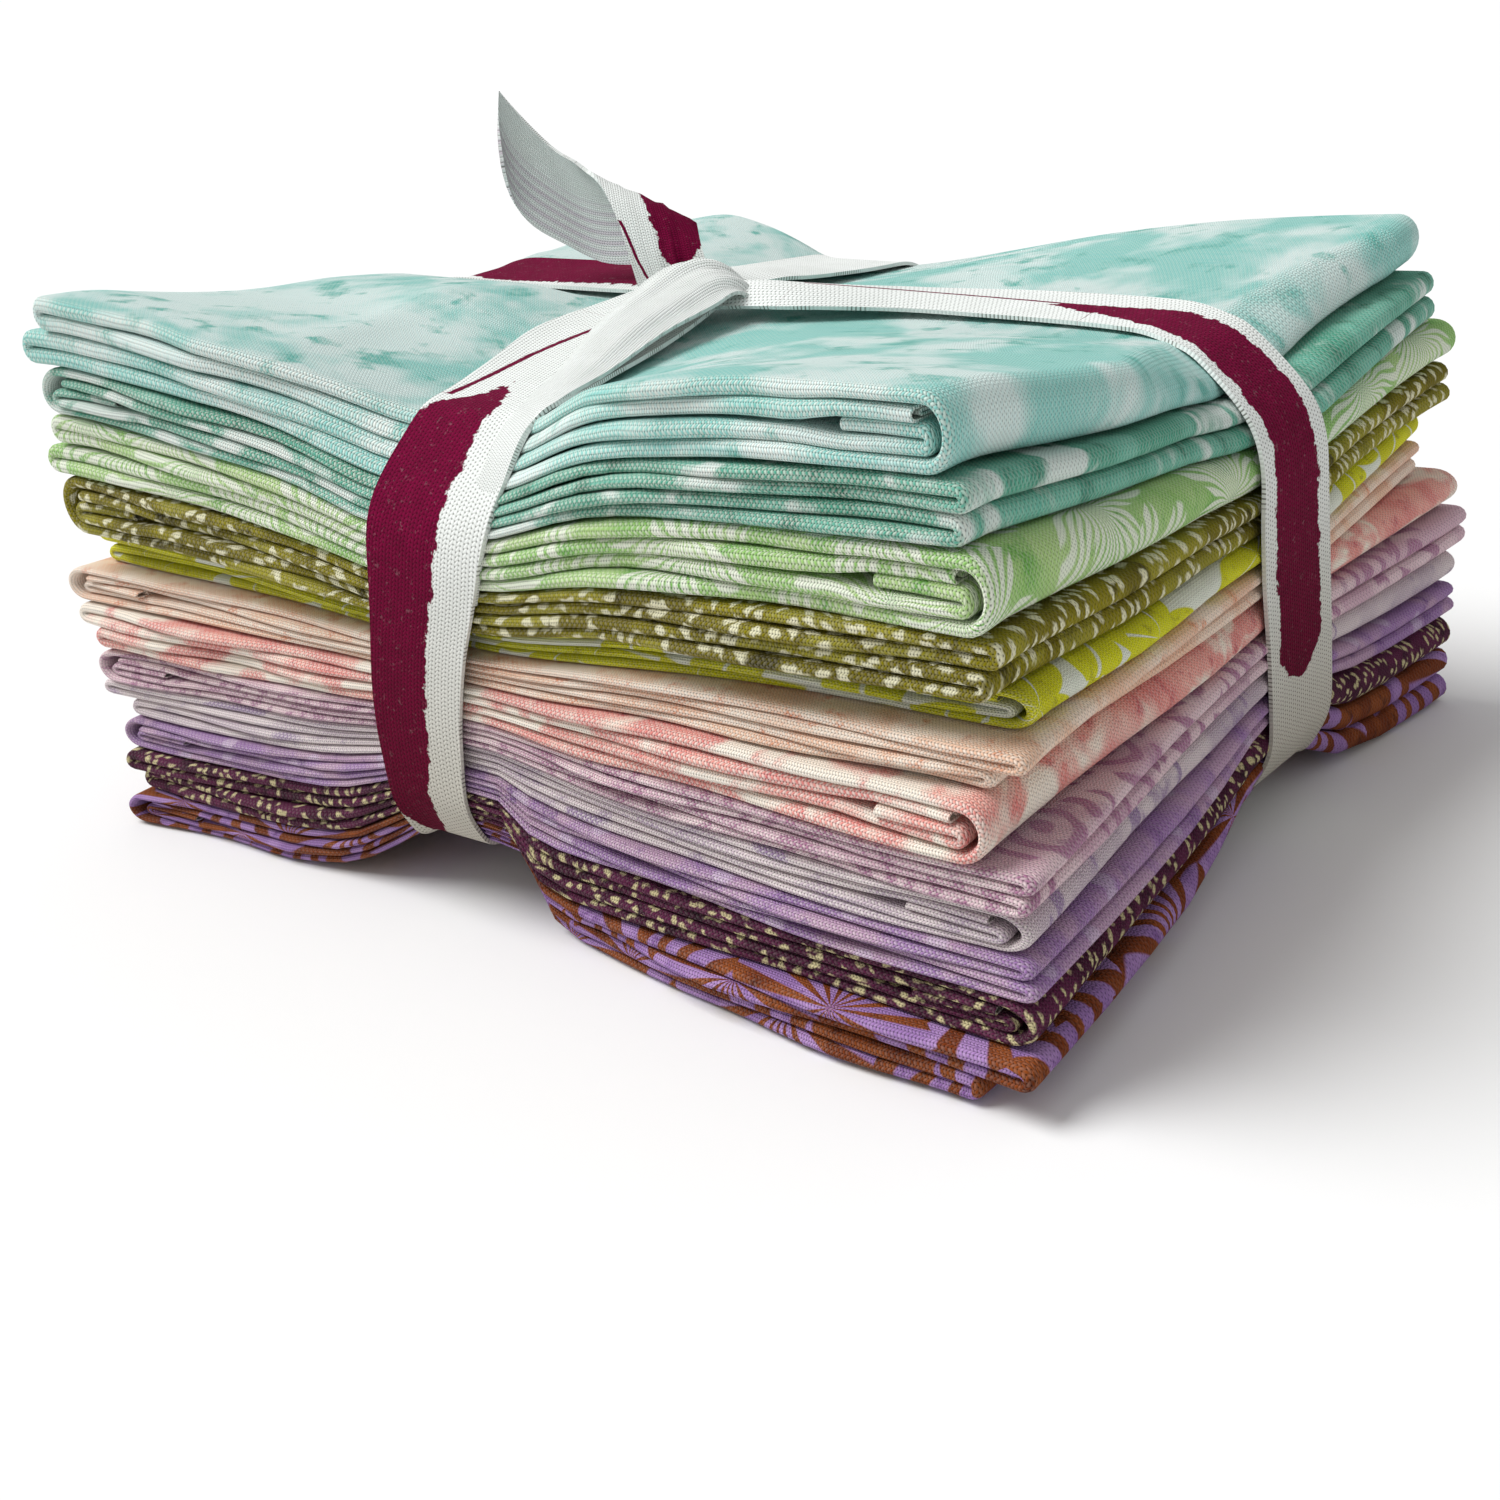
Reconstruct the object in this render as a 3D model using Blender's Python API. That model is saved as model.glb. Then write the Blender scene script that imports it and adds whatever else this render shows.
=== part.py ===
"""A stack of twelve folded fat quarters, tied both ways like a parcel with one length of cotton twill tape.

The front of the stack, which shows every fold, faces -Y, and its right face faces +X.
Sizes are in millimetres, and MM turns them into Blender's metres where a vertex is placed.
Each fat quarter is folded in half twice across its width, into a strip of four layers, and the strip is
then gate-folded: both ends to the middle, and in half. That makes four passes, from the bottom:
0 and 3 are the outer ones, joined by the wrap at one end, and 1 and 2 end inside it. At the other end
0 folds into 1, and 3 folds into 2.
"""
import math
from collections import namedtuple

import bmesh
import bpy
from mathutils import Matrix, Vector

MM = 0.001
CLOTH_WIDTH = 457.2
CLOTH_LENGTH = 558.8
PASSES = 4
HALF_X = CLOTH_LENGTH / 8
HALF_Y = CLOTH_WIDTH / 8
GAP = 0.36
ORIGIN = (0.15, 2.15)

TAPE_WIDTH = 16.0
TAPE_THICK = 1.0
TAPE_GAP = 0.55
TAPE_EDGE_GAP = 0.2

# The plan of the folds: lines across the stack, as distances from the tape that they follow.
X_LINES = (-HALF_X, -44.0, -22.0, -8.0, 8.0, 12.5, 34.0, HALF_X)
Y_LINES = (-HALF_Y, -34.0, -8.0, 8.0, 24.0, HALF_Y)
SHIFT_FADE = 14.0
TINY = 1e-6

Corner = namedtuple("Corner", "near left right back")
CORNER_SIGN = Corner(near=(1, -1), left=(-1, -1), right=(1, 1), back=(-1, 1))
TOP_AT_CORNER = Corner(near=71.8, left=72.6, right=69.0, back=66.0)

# Where the tape runs, and how far it draws the stack's top and bottom in at each edge and in the middle.
Edge = namedtuple("Edge", "front back left right middle")
TAPE_X = Edge(front=-5.0, back=-15.0, left=None, right=None, middle=-9.0)
TAPE_Y = Edge(front=None, back=None, left=12.0, right=12.8, middle=8.0)
TOP_AT_TAPE = Edge(front=59.5, back=57.5, left=61.3, right=61.3, middle=62.0)
BOTTOM_AT_TAPE = Edge(front=9.5, back=7.0, left=7.0, right=6.5, middle=6.0)
CRUSH = Edge(front=11.0, back=9.0, left=8.0, right=12.0, middle=0.0)
CRUSH_REACH = 36.0

# How far the puffed top has risen, and the bottom has sunk, at each distance from the tape's middle, on
# each side of it.
Sides = namedtuple("Sides", "left right front back")
TOP_RISE = Sides(
    left=((8.0, 0.0), (12.0, 0.14), (22.0, 0.45), (33.0, 0.68), (44.0, 0.82), (62.0, 1.0)),
    right=((8.0, 0.0), (12.5, 0.1), (20.0, 0.42), (26.0, 0.63), (34.0, 0.79), (47.0, 0.92), (62.0, 1.0)),
    front=((8.0, 0.0), (22.0, 0.36), (34.0, 0.54), (46.0, 0.72), (62.0, 1.0)),
    back=((8.0, 0.0), (16.0, 0.35), (24.0, 0.6), (34.0, 0.85), (44.0, 1.0)))
# The tape presses the top's right half in further from its side at the back edge than elsewhere.
BACK_REACH = 2.5
BOTTOM_FALL = Sides(
    left=((8.0, 0.0), (22.0, 0.85), (32.0, 1.0)),
    right=((8.0, 0.0), (12.0, 1.0)),
    front=((8.0, 0.0), (20.0, 0.7), (34.0, 1.0)),
    back=((8.0, 0.0), (15.0, 0.6), (22.0, 1.0)))

# The stack's edge under a tape, from the floor up: level is the share of its height, pull the share of
# CRUSH by which the edge is drawn in there, and out and up the way in which the tape stands off it.
Roll = namedtuple("Roll", "level pull out up")
ROLLS = (
    Roll(0.0, 0.3, 0.7, -0.7),
    Roll(0.1, 0.0, 1.0, 0.0),
    Roll(0.76, 0.0, 1.0, 0.0),
    Roll(0.84, 0.12, 1.0, 0.35),
    Roll(0.92, 0.5, 1.0, 0.35),
    Roll(1.0, 1.0, 0.7, 0.7),
)

# One row for each fat quarter, from the bottom up. wrap is the end that the outer passes wrap round:
# 1 is the right end and -1 the left. near, left, right and back say how far that corner stands out past
# the plain oblong, in x and in y. fold_step is how much further out the lower of the two closed folds
# is than the upper one. recess sets the whole front edge back. The last columns are the thickness at
# each corner, as a share of the whole stack's height there.
Fabric = namedtuple("Fabric", "name colour wrap near left right back fold_step recess thick")
FABRICS = (
    Fabric("rust", (0.23, 0.10, 0.16), -1, (7.5, 6.0), (-0.5, 1.8), (2.0, 1.5), (1, 1), -4.5, 0.0,
           Corner(6.8, 4.2, 7.6, 6.5)),
    Fabric("plum", (0.12, 0.03, 0.09), 1, (6.5, 2.2), (-0.5, 1.0), (2.0, 1.0), (1, 1), -1.6, 0.0,
           Corner(5.1, 6.3, 4.8, 5.0)),
    Fabric("lavender", (0.42, 0.27, 0.66), -1, (5.6, 2.2), (0.2, 0.6), (2.0, 1.0), (1, 0), 0.4, 0.0,
           Corner(4.3, 4.3, 4.9, 4.8)),
    Fabric("grey", (0.66, 0.62, 0.70), 1, (5.0, 1.8), (3.5, 0.5), (2.0, 1.0), (1, 1), -4.0, 0.6,
           Corner(4.8, 5.0, 4.8, 5.0)),
    Fabric("mauve", (0.66, 0.45, 0.60), -1, (6.0, 1.6), (3.0, 0.0), (2.5, 2.2), (2, 1), -0.2, 0.0,
           Corner(4.8, 4.5, 6.3, 5.6)),
    Fabric("coral", (0.85, 0.38, 0.38), 1, (1.6, 2.0), (6.0, 0.5), (2.0, 1.2), (1, 2), -2.6, 0.0,
           Corner(7.0, 6.2, 5.3, 6.0)),
    Fabric("peach", (0.86, 0.58, 0.42), -1, (4.8, 0.0), (8.0, 0.0), (-2.0, -3.0), (0, 0), -3.0, 0.8,
           Corner(5.0, 5.0, 5.0, 5.0)),
    Fabric("yellow", (0.78, 0.76, 0.05), 1, (3.2, -3.0), (5.0, -2.0), (-2.0, -3.0), (-1, -1), -1.4, 3.0,
           Corner(4.3, 5.0, 4.6, 4.8)),
    Fabric("olive", (0.36, 0.36, 0.08), -1, (2.2, 0.0), (4.5, 0.0), (0.5, 0.0), (1, 1), -0.8, 0.0,
           Corner(6.8, 8.2, 6.2, 6.0)),
    Fabric("green", (0.45, 0.68, 0.38), 1, (1.8, 0.0), (3.0, 0.0), (1.5, 0.6), (0, 1), 1.8, 0.0,
           Corner(8.8, 8.2, 5.6, 7.0)),
    Fabric("mint", (0.30, 0.66, 0.55), -1, (-0.4, 0.0), (3.0, 0.0), (-0.8, -2.6), (0, -1), -0.8, 0.0,
           Corner(6.8, 6.5, 7.2, 6.0)),
    Fabric("aqua", (0.42, 0.72, 0.72), 1, (-1.8, 0.0), (0.6, 0.0), (-4.0, -2.5), (-2, -2), 3.4, 0.0,
           Corner(8.6, 9.6, 7.6, 8.0)),
)
TAPE_COLOUR = (0.80, 0.79, 0.76)

# One fat quarter's section, pass by pass: the order in which the strip runs through them, the way it
# runs, and the way that its outer side faces in each.
Run = namedtuple("Run", "level towards_wrap outer")
RUNS = (Run(1, False, 1), Run(0, True, -1), Run(3, False, 1), Run(2, True, -1))
# The wrap's round end: at each level, how far in it lies and how far its outer side leans up.
Turn = namedtuple("Turn", "level inset lean")
WRAP_TURNS = (Turn(0.5, 0.5, -0.7), Turn(1.5, 0.0, 0.0), Turn(2.5, 0.5, 0.7))
WRAP_ROOM = 3.4
WRAP_RADIUS = 2.0
FOLD_RADIUS = 0.9
# The strip's front edge is itself a fold, so it is rounded, and it stands this far proud.
NOSE = 0.45
EDGE_HALF = 0.5

# The knot, and the one free end of the tape: its stations run from the knot to the cut tip, each with
# its two edges.
KNOT_SIZE = (20.0, 17.0, 7.0)
KNOT_PLACE = (-9.0, 4.0, 66.4)
KNOT_TURN = math.radians(35)
Station = namedtuple("Station", "left right")
TAIL = (
    Station((-17.0, -0.5, 64.8), (-5.0, 0.5, 66.0)),
    Station((-18.2, -1.5, 68.4), (-7.5, 1.5, 69.6)),
    Station((-19.7, -1.0, 72.8), (-9.5, 3.5, 71.6)),
    Station((-24.8, 1.5, 77.7), (-10.9, 4.5, 72.4)),
    Station((-30.4, 5.0, 78.7), (-18.1, 7.0, 66.9)),
    Station((-33.7, 5.0, 81.0), (-27.6, 5.0, 65.6)),
    Station((-37.0, 4.0, 84.0), (-32.0, 3.0, 68.8)),
    Station((-39.6, 3.0, 87.0), (-36.3, 1.0, 71.0)),
    Station((-41.8, 2.0, 89.3), (-38.9, 0.0, 72.9)),
)


def interpolate(table, value):
    """The piecewise straight line through (place, result) pairs, flat beyond its ends."""
    if value <= table[0][0]:
        return table[0][1]
    for (start, low), (end, high) in zip(table, table[1:]):
        if value <= end:
            return low + (high - low) * (value - start) / (end - start)
    return table[-1][1]


def tape_x(y):
    """The middle of the tape that runs front to back, at y."""
    return interpolate(((-HALF_Y, TAPE_X.front), (TAPE_Y.middle, TAPE_X.middle), (HALF_Y, TAPE_X.back)), y)


def tape_y(x):
    """The middle of the tape that runs side to side, at x."""
    return interpolate(((-HALF_X, TAPE_Y.left), (TAPE_X.middle, TAPE_Y.middle), (HALF_X, TAPE_Y.right)), x)


def along(values, x, y):
    """A height that varies along both tapes, taken from the nearer one of them."""
    on_x = interpolate(((-HALF_X, values.left), (TAPE_X.middle, values.middle), (HALF_X, values.right)), x)
    on_y = interpolate(((-HALF_Y, values.front), (TAPE_Y.middle, values.middle), (HALF_Y, values.back)), y)
    from_x = max(abs(x - tape_x(y)) - TAPE_WIDTH / 2, TINY)
    from_y = max(abs(y - tape_y(x)) - TAPE_WIDTH / 2, TINY)
    return (on_x * from_x + on_y * from_y) / (from_x + from_y)


def corner_mix(values, x, y):
    """A value between the four corners' own, at x and y."""
    u = min(max((x + HALF_X) / (2 * HALF_X), 0), 1)
    v = min(max((y + HALF_Y) / (2 * HALF_Y), 0), 1)
    return ((values.left * (1 - u) + values.near * u) * (1 - v)
            + (values.back * (1 - u) + values.right * u) * v)


def away(tables, x, y, back_reach=1.0):
    """How far from both tapes a place is, from 0 under either of them to 1 well away from both."""
    from_x, from_y = x - tape_x(y), y - tape_y(x)
    reach = 1 + (back_reach - 1) * min(max(from_y / (HALF_Y - TAPE_Y.middle), 0), 1)
    beside = max(from_x - TAPE_WIDTH / 2, 0) / reach + TAPE_WIDTH / 2
    return ((interpolate(tables.right, beside) if from_x > 0 else interpolate(tables.left, -from_x))
            * interpolate(tables.back if from_y > 0 else tables.front, abs(from_y)))


def top_height(x, y):
    """The top of the stack: puffed between the tapes and pressed in under them."""
    rise = away(TOP_RISE, x, y, BACK_REACH)
    low = along(TOP_AT_TAPE, x, y)
    return low + (corner_mix(TOP_AT_CORNER, x, y) - low) * rise


def bottom_height(x, y):
    """The underside: flat on the table, and drawn up where the tapes pass under."""
    return along(BOTTOM_AT_TAPE, x, y) * (1 - away(BOTTOM_FALL, x, y)) - GAP / 2


def level_at(fabric, share, x, y):
    """How far up the stack, from 0 to 1, a share of one fat quarter's thickness is."""
    parts = [corner_mix(each.thick, x, y) for each in FABRICS]
    return (sum(parts[:fabric]) + parts[fabric] * share) / sum(parts)


def grid_height(fabric, share, x, y, column, row):
    """The height of a level, straight between the plan's lines so that layers never cross."""
    def at_node(i, j):
        node_x, node_y = plan_node(i, j)
        level = level_at(fabric, share, node_x, node_y)
        return bottom_height(node_x, node_y) * (1 - level) + top_height(node_x, node_y) * level
    return blend_nodes(at_node, x, y, column, row)


def blend_nodes(at_node, x, y, column, row):
    """A value at (x, y), straight along the plan's line to the next node inwards at an outer edge."""
    value = at_node(column, row)
    node_x, node_y = plan_node(column, row)
    if column in (0, len(X_LINES) - 1):
        inner = 1 if column == 0 else column - 1
        inner_x = plan_node(inner, row)[0]
        value += (at_node(inner, row) - at_node(column, row)) * (x - node_x) / (inner_x - node_x)
    if row in (0, len(Y_LINES) - 1):
        inner = 1 if row == 0 else row - 1
        inner_y = plan_node(column, inner)[1]
        value += (at_node(column, inner) - at_node(column, row)) * (y - node_y) / (inner_y - node_y)
    return value


def plan_node(column, row):
    """Where two of the plan's lines cross. They follow the tapes, and straighten towards the edges."""
    a, b = X_LINES[column], Y_LINES[row]
    x, y = a, b
    for _ in range(3):
        x = a + tape_x(y) * follow(a, HALF_X)
        y = b + tape_y(x) * follow(b, HALF_Y)
    return x, y


def follow(distance, half):
    """How far a line follows its tape: wholly beside it, and not at all at the stack's edge."""
    return 1 - max(abs(distance) - SHIFT_FADE, 0) / (half - SHIFT_FADE)


def edge_out(index, column, row, level):
    """How far a fat quarter's edge stands out past the plan's outer line, in x and in y."""
    fabric = FABRICS[index]
    x, y = plan_node(column, row)
    side_x, side_y = (1 if x > tape_x(y) else -1), (1 if y > tape_y(x) else -1)
    name = CORNER_SIGN._fields[CORNER_SIGN.index((side_x, side_y))]
    corner = getattr(fabric, name)
    crushed = interpolate([(roll.level, roll.pull) for roll in ROLLS], level)
    out_x = out_y = 0.0
    if column in (0, len(X_LINES) - 1):
        strand = abs(y - tape_y(x))
        crush = (CRUSH.right if x > 0 else CRUSH.left) * crushed
        out_x = corner[0] * beyond_tape(strand, abs(side_y * HALF_Y - tape_y(x))) - crush * pulled(strand)
    if row in (0, len(Y_LINES) - 1):
        strand = abs(x - tape_x(y))
        crush = (CRUSH.back if y > 0 else CRUSH.front) * crushed
        out_y = corner[1] * beyond_tape(strand, abs(side_x * HALF_X - tape_x(y))) - crush * pulled(strand)
        if y < 0:
            out_y -= fabric.recess
    return out_x * side_x, out_y * side_y


def beyond_tape(distance, reach):
    """Nothing under the tape, and one at the corner."""
    return max(distance - TAPE_WIDTH / 2, 0) / (reach - TAPE_WIDTH / 2)


def pulled(distance):
    """One under the tape, and nothing where its pull on the edge has died away."""
    return max(1 - beyond_tape(distance, CRUSH_REACH), 0)


Place = namedtuple("Place", "column inset step level face")


def section(fabric):
    """The strip's own line, end to end: for each place the plan's line that it is on, how far it lies in
    from that line, how far it steps out away from the tape, its level in passes, and which way its outer
    side faces, in x and in z."""
    last = len(X_LINES) - 1
    wrap_column = last if fabric.wrap > 0 else 0
    fold_column = last - wrap_column
    inner = range(1, last)
    stations = []
    for number, run in enumerate(RUNS):
        columns = list(inner) if (run.towards_wrap == (fabric.wrap > 0)) else list(inner)[::-1]
        step = fabric.fold_step if run.level < 2 else 0.0
        fold_end = Place(fold_column, FOLD_RADIUS, step, run.level, (0, run.outer))
        free = number in (0, len(RUNS) - 1)
        wrap_end = Place(wrap_column, WRAP_ROOM if free else WRAP_RADIUS, 0.0, run.level, (0, run.outer))
        ends = (fold_end, wrap_end) if run.towards_wrap else (wrap_end, fold_end)
        stations.append(ends[0])
        stations.extend(Place(column, 0.0, 0.0, run.level, (0, run.outer)) for column in columns)
        stations.append(ends[1])
        if number in (0, 2):
            turn = (run.level + RUNS[number + 1].level) / 2
            stations.append(Place(fold_column, 0.0, step, turn, (-fabric.wrap, 0)))
        if number == 1:
            for turn in WRAP_TURNS:
                face = (fabric.wrap * math.sqrt(1 - turn.lean ** 2), turn.lean)
                stations.append(Place(wrap_column, turn.inset, 0.0, turn.level, face))
    return stations


def cloth_point(index, stations, station, row, side):
    """One vertex of a fat quarter: side is 1 on the strip's outer face, -1 on its inner one, 0 between."""
    fabric = FABRICS[index]
    place = stations[station]
    share = (place.level + 0.5) / PASSES
    x, y = plan_node(place.column, row)
    level = level_at(index, share, x, y)
    out_x, out_y = edge_out(index, place.column, row, level)
    inwards = 1 if place.column == 0 else -1
    if place.column in (0, len(X_LINES) - 1):
        free = beyond_tape(max(tape_y(x) - y, 0), HALF_Y)
        x += out_x + inwards * (place.inset - place.step * free + EDGE_HALF)
    y += out_y
    height = grid_height(index, share, x, y, place.column, row)
    pitch = (grid_height(index, 1.0, x, y, place.column, row)
             - grid_height(index, 0.0, x, y, place.column, row)) / PASSES
    half = (pitch - GAP) / 2
    x += place.face[0] * half * side
    height += place.face[1] * half * side
    if side == 0 and row == 0:
        y -= NOSE
    return Vector(((x + ORIGIN[0]) * MM, (y + ORIGIN[1]) * MM, height * MM))


def split_face(face, keys):
    """Cuts a four-sided face from the corner nearest the tapes' crossing, so that all layers match."""
    if len(face.verts) != 4:
        return
    plan = [(X_LINES[column], Y_LINES[row]) for column, row in (keys[vert.index] for vert in face.verts)]
    nearest = min(range(4), key=lambda n: (round(abs(plan[n][0]) + abs(plan[n][1]), 3), plan[n]))
    bmesh.utils.face_split(face, face.verts[nearest], face.verts[(nearest + 2) % 4])


def fat_quarter(index):
    """One folded fat quarter: a flat strip on a grid, thickened, and then folded point by point."""
    fabric = FABRICS[index]
    stations = section(fabric)
    along_strip, across_strip = len(stations) - 1, len(Y_LINES) - 1
    bm = bmesh.new()
    bmesh.ops.create_grid(bm, x_segments=along_strip, y_segments=across_strip, size=1.0)
    lower = bm.faces[:]
    raised = bmesh.ops.extrude_face_region(bm, geom=lower, use_keep_orig=True)["geom"]
    for vert in (item for item in raised if isinstance(item, bmesh.types.BMVert)):
        vert.co.z = 2.0
    for vert in bm.verts:
        vert.co.z -= 1.0
    front = [edge for edge in bm.edges if all(vert.co.y < -0.999 for vert in edge.verts)
             and abs(edge.verts[0].co.z - edge.verts[1].co.z) > 1.0]
    bmesh.ops.subdivide_edges(bm, edges=front, cuts=1, use_grid_fill=False)
    bm.verts.index_update()
    keys = {}
    places = []
    for vert in bm.verts:
        station = round((vert.co.x + 1) / 2 * along_strip)
        row = round((vert.co.y + 1) / 2 * across_strip)
        keys[vert.index] = (stations[station].column, row)
        places.append((station, row, round(vert.co.z)))
    for vert, (station, row, side) in zip(bm.verts, places):
        vert.co = cloth_point(index, stations, station, row, side)
    for face in bm.faces[:]:
        split_face(face, keys)
    bmesh.ops.triangulate(bm, faces=[face for face in bm.faces if len(face.verts) > 3])
    bmesh.ops.recalc_face_normals(bm, faces=bm.faces[:])
    return mesh_object("fat_quarter_" + fabric.name, bm)


def mesh_object(name, bm):
    """A new object in the stack's collection, from a finished bmesh."""
    mesh = bpy.data.meshes.new(name)
    bm.to_mesh(mesh)
    bm.free()
    made = bpy.data.objects.new(name, mesh)
    collection.objects.link(made)
    return made


def material(name, colour, roughness):
    made = bpy.data.materials.new(name)
    made.use_nodes = True
    shader = made.node_tree.nodes["Principled BSDF"]
    shader.inputs["Base Color"].default_value = (*colour, 1.0)
    shader.inputs["Roughness"].default_value = roughness
    shader.inputs["Metallic"].default_value = 0.0
    return made


def loop_points(across):
    """The middle line of one loop of tape round the stack, whose flat side faces it all the way.

    across is True for the loop that runs side to side."""
    lift = TAPE_GAP + TAPE_THICK / 2
    half = HALF_X if across else HALF_Y
    ends = ((1, CRUSH.right), (-1, CRUSH.left)) if across else ((1, CRUSH.back), (-1, CRUSH.front))

    def on_tape(distance):
        """The tape's middle in plan, this far from the stack's."""
        return (distance, tape_y(distance)) if across else (tape_x(distance), distance)

    def level_run(height_at, clear):
        """The tape's way over the top or under the bottom, with a point on each of the plan's lines."""
        places = [on_tape(distance) for distance in crossings(across)]
        return [Vector((x, y, height_at(x, y) + clear)) for x, y in places]

    def upright_run(sign, crush):
        """Its way down one face of the stack."""
        points = []
        for roll in reversed(ROLLS):
            out = half - crush * roll.pull
            x, y = on_tape(sign * out)
            height = bottom_height(x, y) * (1 - roll.level) + top_height(x, y) * roll.level
            clear = lift * roll.out + (NOSE if sign < 0 and not across else 0.0)
            beside_x, beside_y = on_tape(sign * half)
            x, y = (sign * (out + clear), beside_y) if across else (beside_x, sign * (out + clear))
            points.append(Vector((x, y, height + lift * roll.up)))
        return points

    faces = [upright_run(sign, crush) for sign, crush in ends]
    return (level_run(top_height, lift) + faces[0]
            + level_run(bottom_height, -lift)[::-1] + faces[1][::-1])


def crossings(across):
    """How far along one tape the plan's inner lines cross it."""
    lines, others = (X_LINES, Y_LINES) if across else (Y_LINES, X_LINES)
    beside = others.index(-TAPE_WIDTH / 2)
    found = []
    for n in range(1, len(lines) - 1):
        nodes = [plan_node(n, m) if across else plan_node(m, n) for m in (beside, beside + 1)]
        found.append(sum(node[0 if across else 1] for node in nodes) / len(nodes))
    return found


def tape_loop(name, across):
    """One closed loop of flat tape round the stack."""
    points = loop_points(across)
    side = Vector((0, 1, 0)) if across else Vector((1, 0, 0))
    half = side * (TAPE_WIDTH / 2 - TAPE_EDGE_GAP)
    bm = bmesh.new()
    rings = []
    for number, centre in enumerate(points):
        run = points[(number + 1) % len(points)] - points[number - 1]
        out = run.cross(side).normalized() * TAPE_THICK / 2
        rings.append(tape_ring(bm, centre - half, centre + half, out))
    for this, following in zip(rings, rings[1:] + rings[:1]):
        skin(bm, this, following)
    bmesh.ops.recalc_face_normals(bm, faces=bm.faces[:])
    return mesh_object(name, bm)


def tape_ring(bm, left, right, out):
    """The tape's four corners at one place, from its two edges and half its thickness."""
    corners = (left - out, right - out, right + out, left + out)
    return [bm.verts.new(in_metres(corner)) for corner in corners]


def skin(bm, this, following):
    """The tape's four sides between one ring and the next."""
    for n in range(len(this)):
        after = (n + 1) % len(this)
        bm.faces.new((this[n], this[after], following[after], following[n]))


def in_metres(point):
    return Vector(((point[0] + ORIGIN[0]) * MM, (point[1] + ORIGIN[1]) * MM, point[2] * MM))


def knot():
    """The half knot on top: a low rounded lump of folded tape, drawn out along the strands."""
    bm = bmesh.new()
    bmesh.ops.create_icosphere(bm, subdivisions=2, radius=1.0)
    turned = Matrix.Rotation(KNOT_TURN, 3, "Z")
    for vert in bm.verts:
        lump = Vector([vert.co[n] * KNOT_SIZE[n] / 2 for n in range(3)])
        vert.co = in_metres(turned @ lump + Vector(KNOT_PLACE))
    return mesh_object("knot", bm)


def tail():
    """The tape's free end, which stands up from the knot and turns over."""
    bm = bmesh.new()
    lefts = [Vector(station.left) for station in TAIL]
    rights = [Vector(station.right) for station in TAIL]
    rings = []
    for number in range(len(TAIL)):
        before, after = max(number - 1, 0), min(number + 1, len(TAIL) - 1)
        run = (lefts[after] + rights[after]) - (lefts[before] + rights[before])
        out = run.cross(rights[number] - lefts[number]).normalized() * TAPE_THICK / 2
        rings.append(tape_ring(bm, lefts[number], rights[number], out))
    for this, following in zip(rings, rings[1:]):
        skin(bm, this, following)
    bm.faces.new(rings[0][::-1])
    bm.faces.new(rings[-1])
    bmesh.ops.recalc_face_normals(bm, faces=bm.faces[:])
    return mesh_object("tail", bm)


def tie():
    """The whole tape: two loops, the knot and the free end, joined into one solid."""
    made = tape_loop("twill_tape", across=True)
    for piece in (tape_loop("loop_front_to_back", across=False), knot(), tail()):
        union = made.modifiers.new("join", "BOOLEAN")
        union.operation = "UNION"
        union.solver = "EXACT"
        union.object = piece
        collection.objects.unlink(piece)
        cutters.objects.link(piece)
        piece.hide_render = True
        piece.display_type = "WIRE"
    return made


for old in list(bpy.data.objects):
    bpy.data.objects.remove(old, do_unlink=True)

collection = bpy.data.collections.new("stack_of_fat_quarters")
cutters = bpy.data.collections.new("tape_pieces")
bpy.context.scene.collection.children.link(collection)
bpy.context.scene.collection.children.link(cutters)

for number, row in enumerate(FABRICS):
    fat_quarter(number).data.materials.append(material("cotton_" + row.name, row.colour, 0.85))
tie().data.materials.append(material("cotton_twill", TAPE_COLOUR, 0.8))
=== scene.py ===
"""The looks of a stack of twelve folded fat quarters, tied both ways with one printed cotton tape.

Sizes are in millimetres in the stack's own frame, and metres() turns them into Blender's. Each fat
quarter is a whole sheet of quilting cotton: folded in half twice across its width into a strip of four
layers, and the strip then folded into four passes. A sheet is made flat, as rows along its length and
columns across its width, and each row and column is given its place in the folds. The folded sheet is
then bent to the stack's own shape, which the tape pulls in.
"""
import math
from collections import namedtuple

import bmesh
import bpy
import numpy as np
from mathutils import Matrix, Vector


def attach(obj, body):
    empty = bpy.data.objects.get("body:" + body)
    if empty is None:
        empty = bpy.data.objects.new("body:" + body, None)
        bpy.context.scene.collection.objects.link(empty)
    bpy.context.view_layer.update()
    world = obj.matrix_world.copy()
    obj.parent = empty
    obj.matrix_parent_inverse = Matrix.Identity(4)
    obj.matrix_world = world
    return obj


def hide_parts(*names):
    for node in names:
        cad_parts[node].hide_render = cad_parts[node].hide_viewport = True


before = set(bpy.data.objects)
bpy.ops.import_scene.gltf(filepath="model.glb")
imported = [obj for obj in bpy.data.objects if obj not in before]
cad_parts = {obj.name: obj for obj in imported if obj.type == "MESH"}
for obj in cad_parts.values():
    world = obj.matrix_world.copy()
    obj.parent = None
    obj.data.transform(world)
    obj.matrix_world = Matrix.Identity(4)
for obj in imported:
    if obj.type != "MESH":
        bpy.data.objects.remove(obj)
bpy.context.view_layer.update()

MM = 0.001
CLOTH_WIDTH = 457.2
CLOTH_LENGTH = 558.8
HALF_X = CLOTH_LENGTH / 8
HALF_Y = CLOTH_WIDTH / 8
ORIGIN = (0.15, 2.15)
TAPE_WIDTH = 16.0

Corner = namedtuple("Corner", "near left right back")
TOP_AT_CORNER = Corner(near=71.8, left=72.6, right=69.0, back=66.0)

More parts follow.
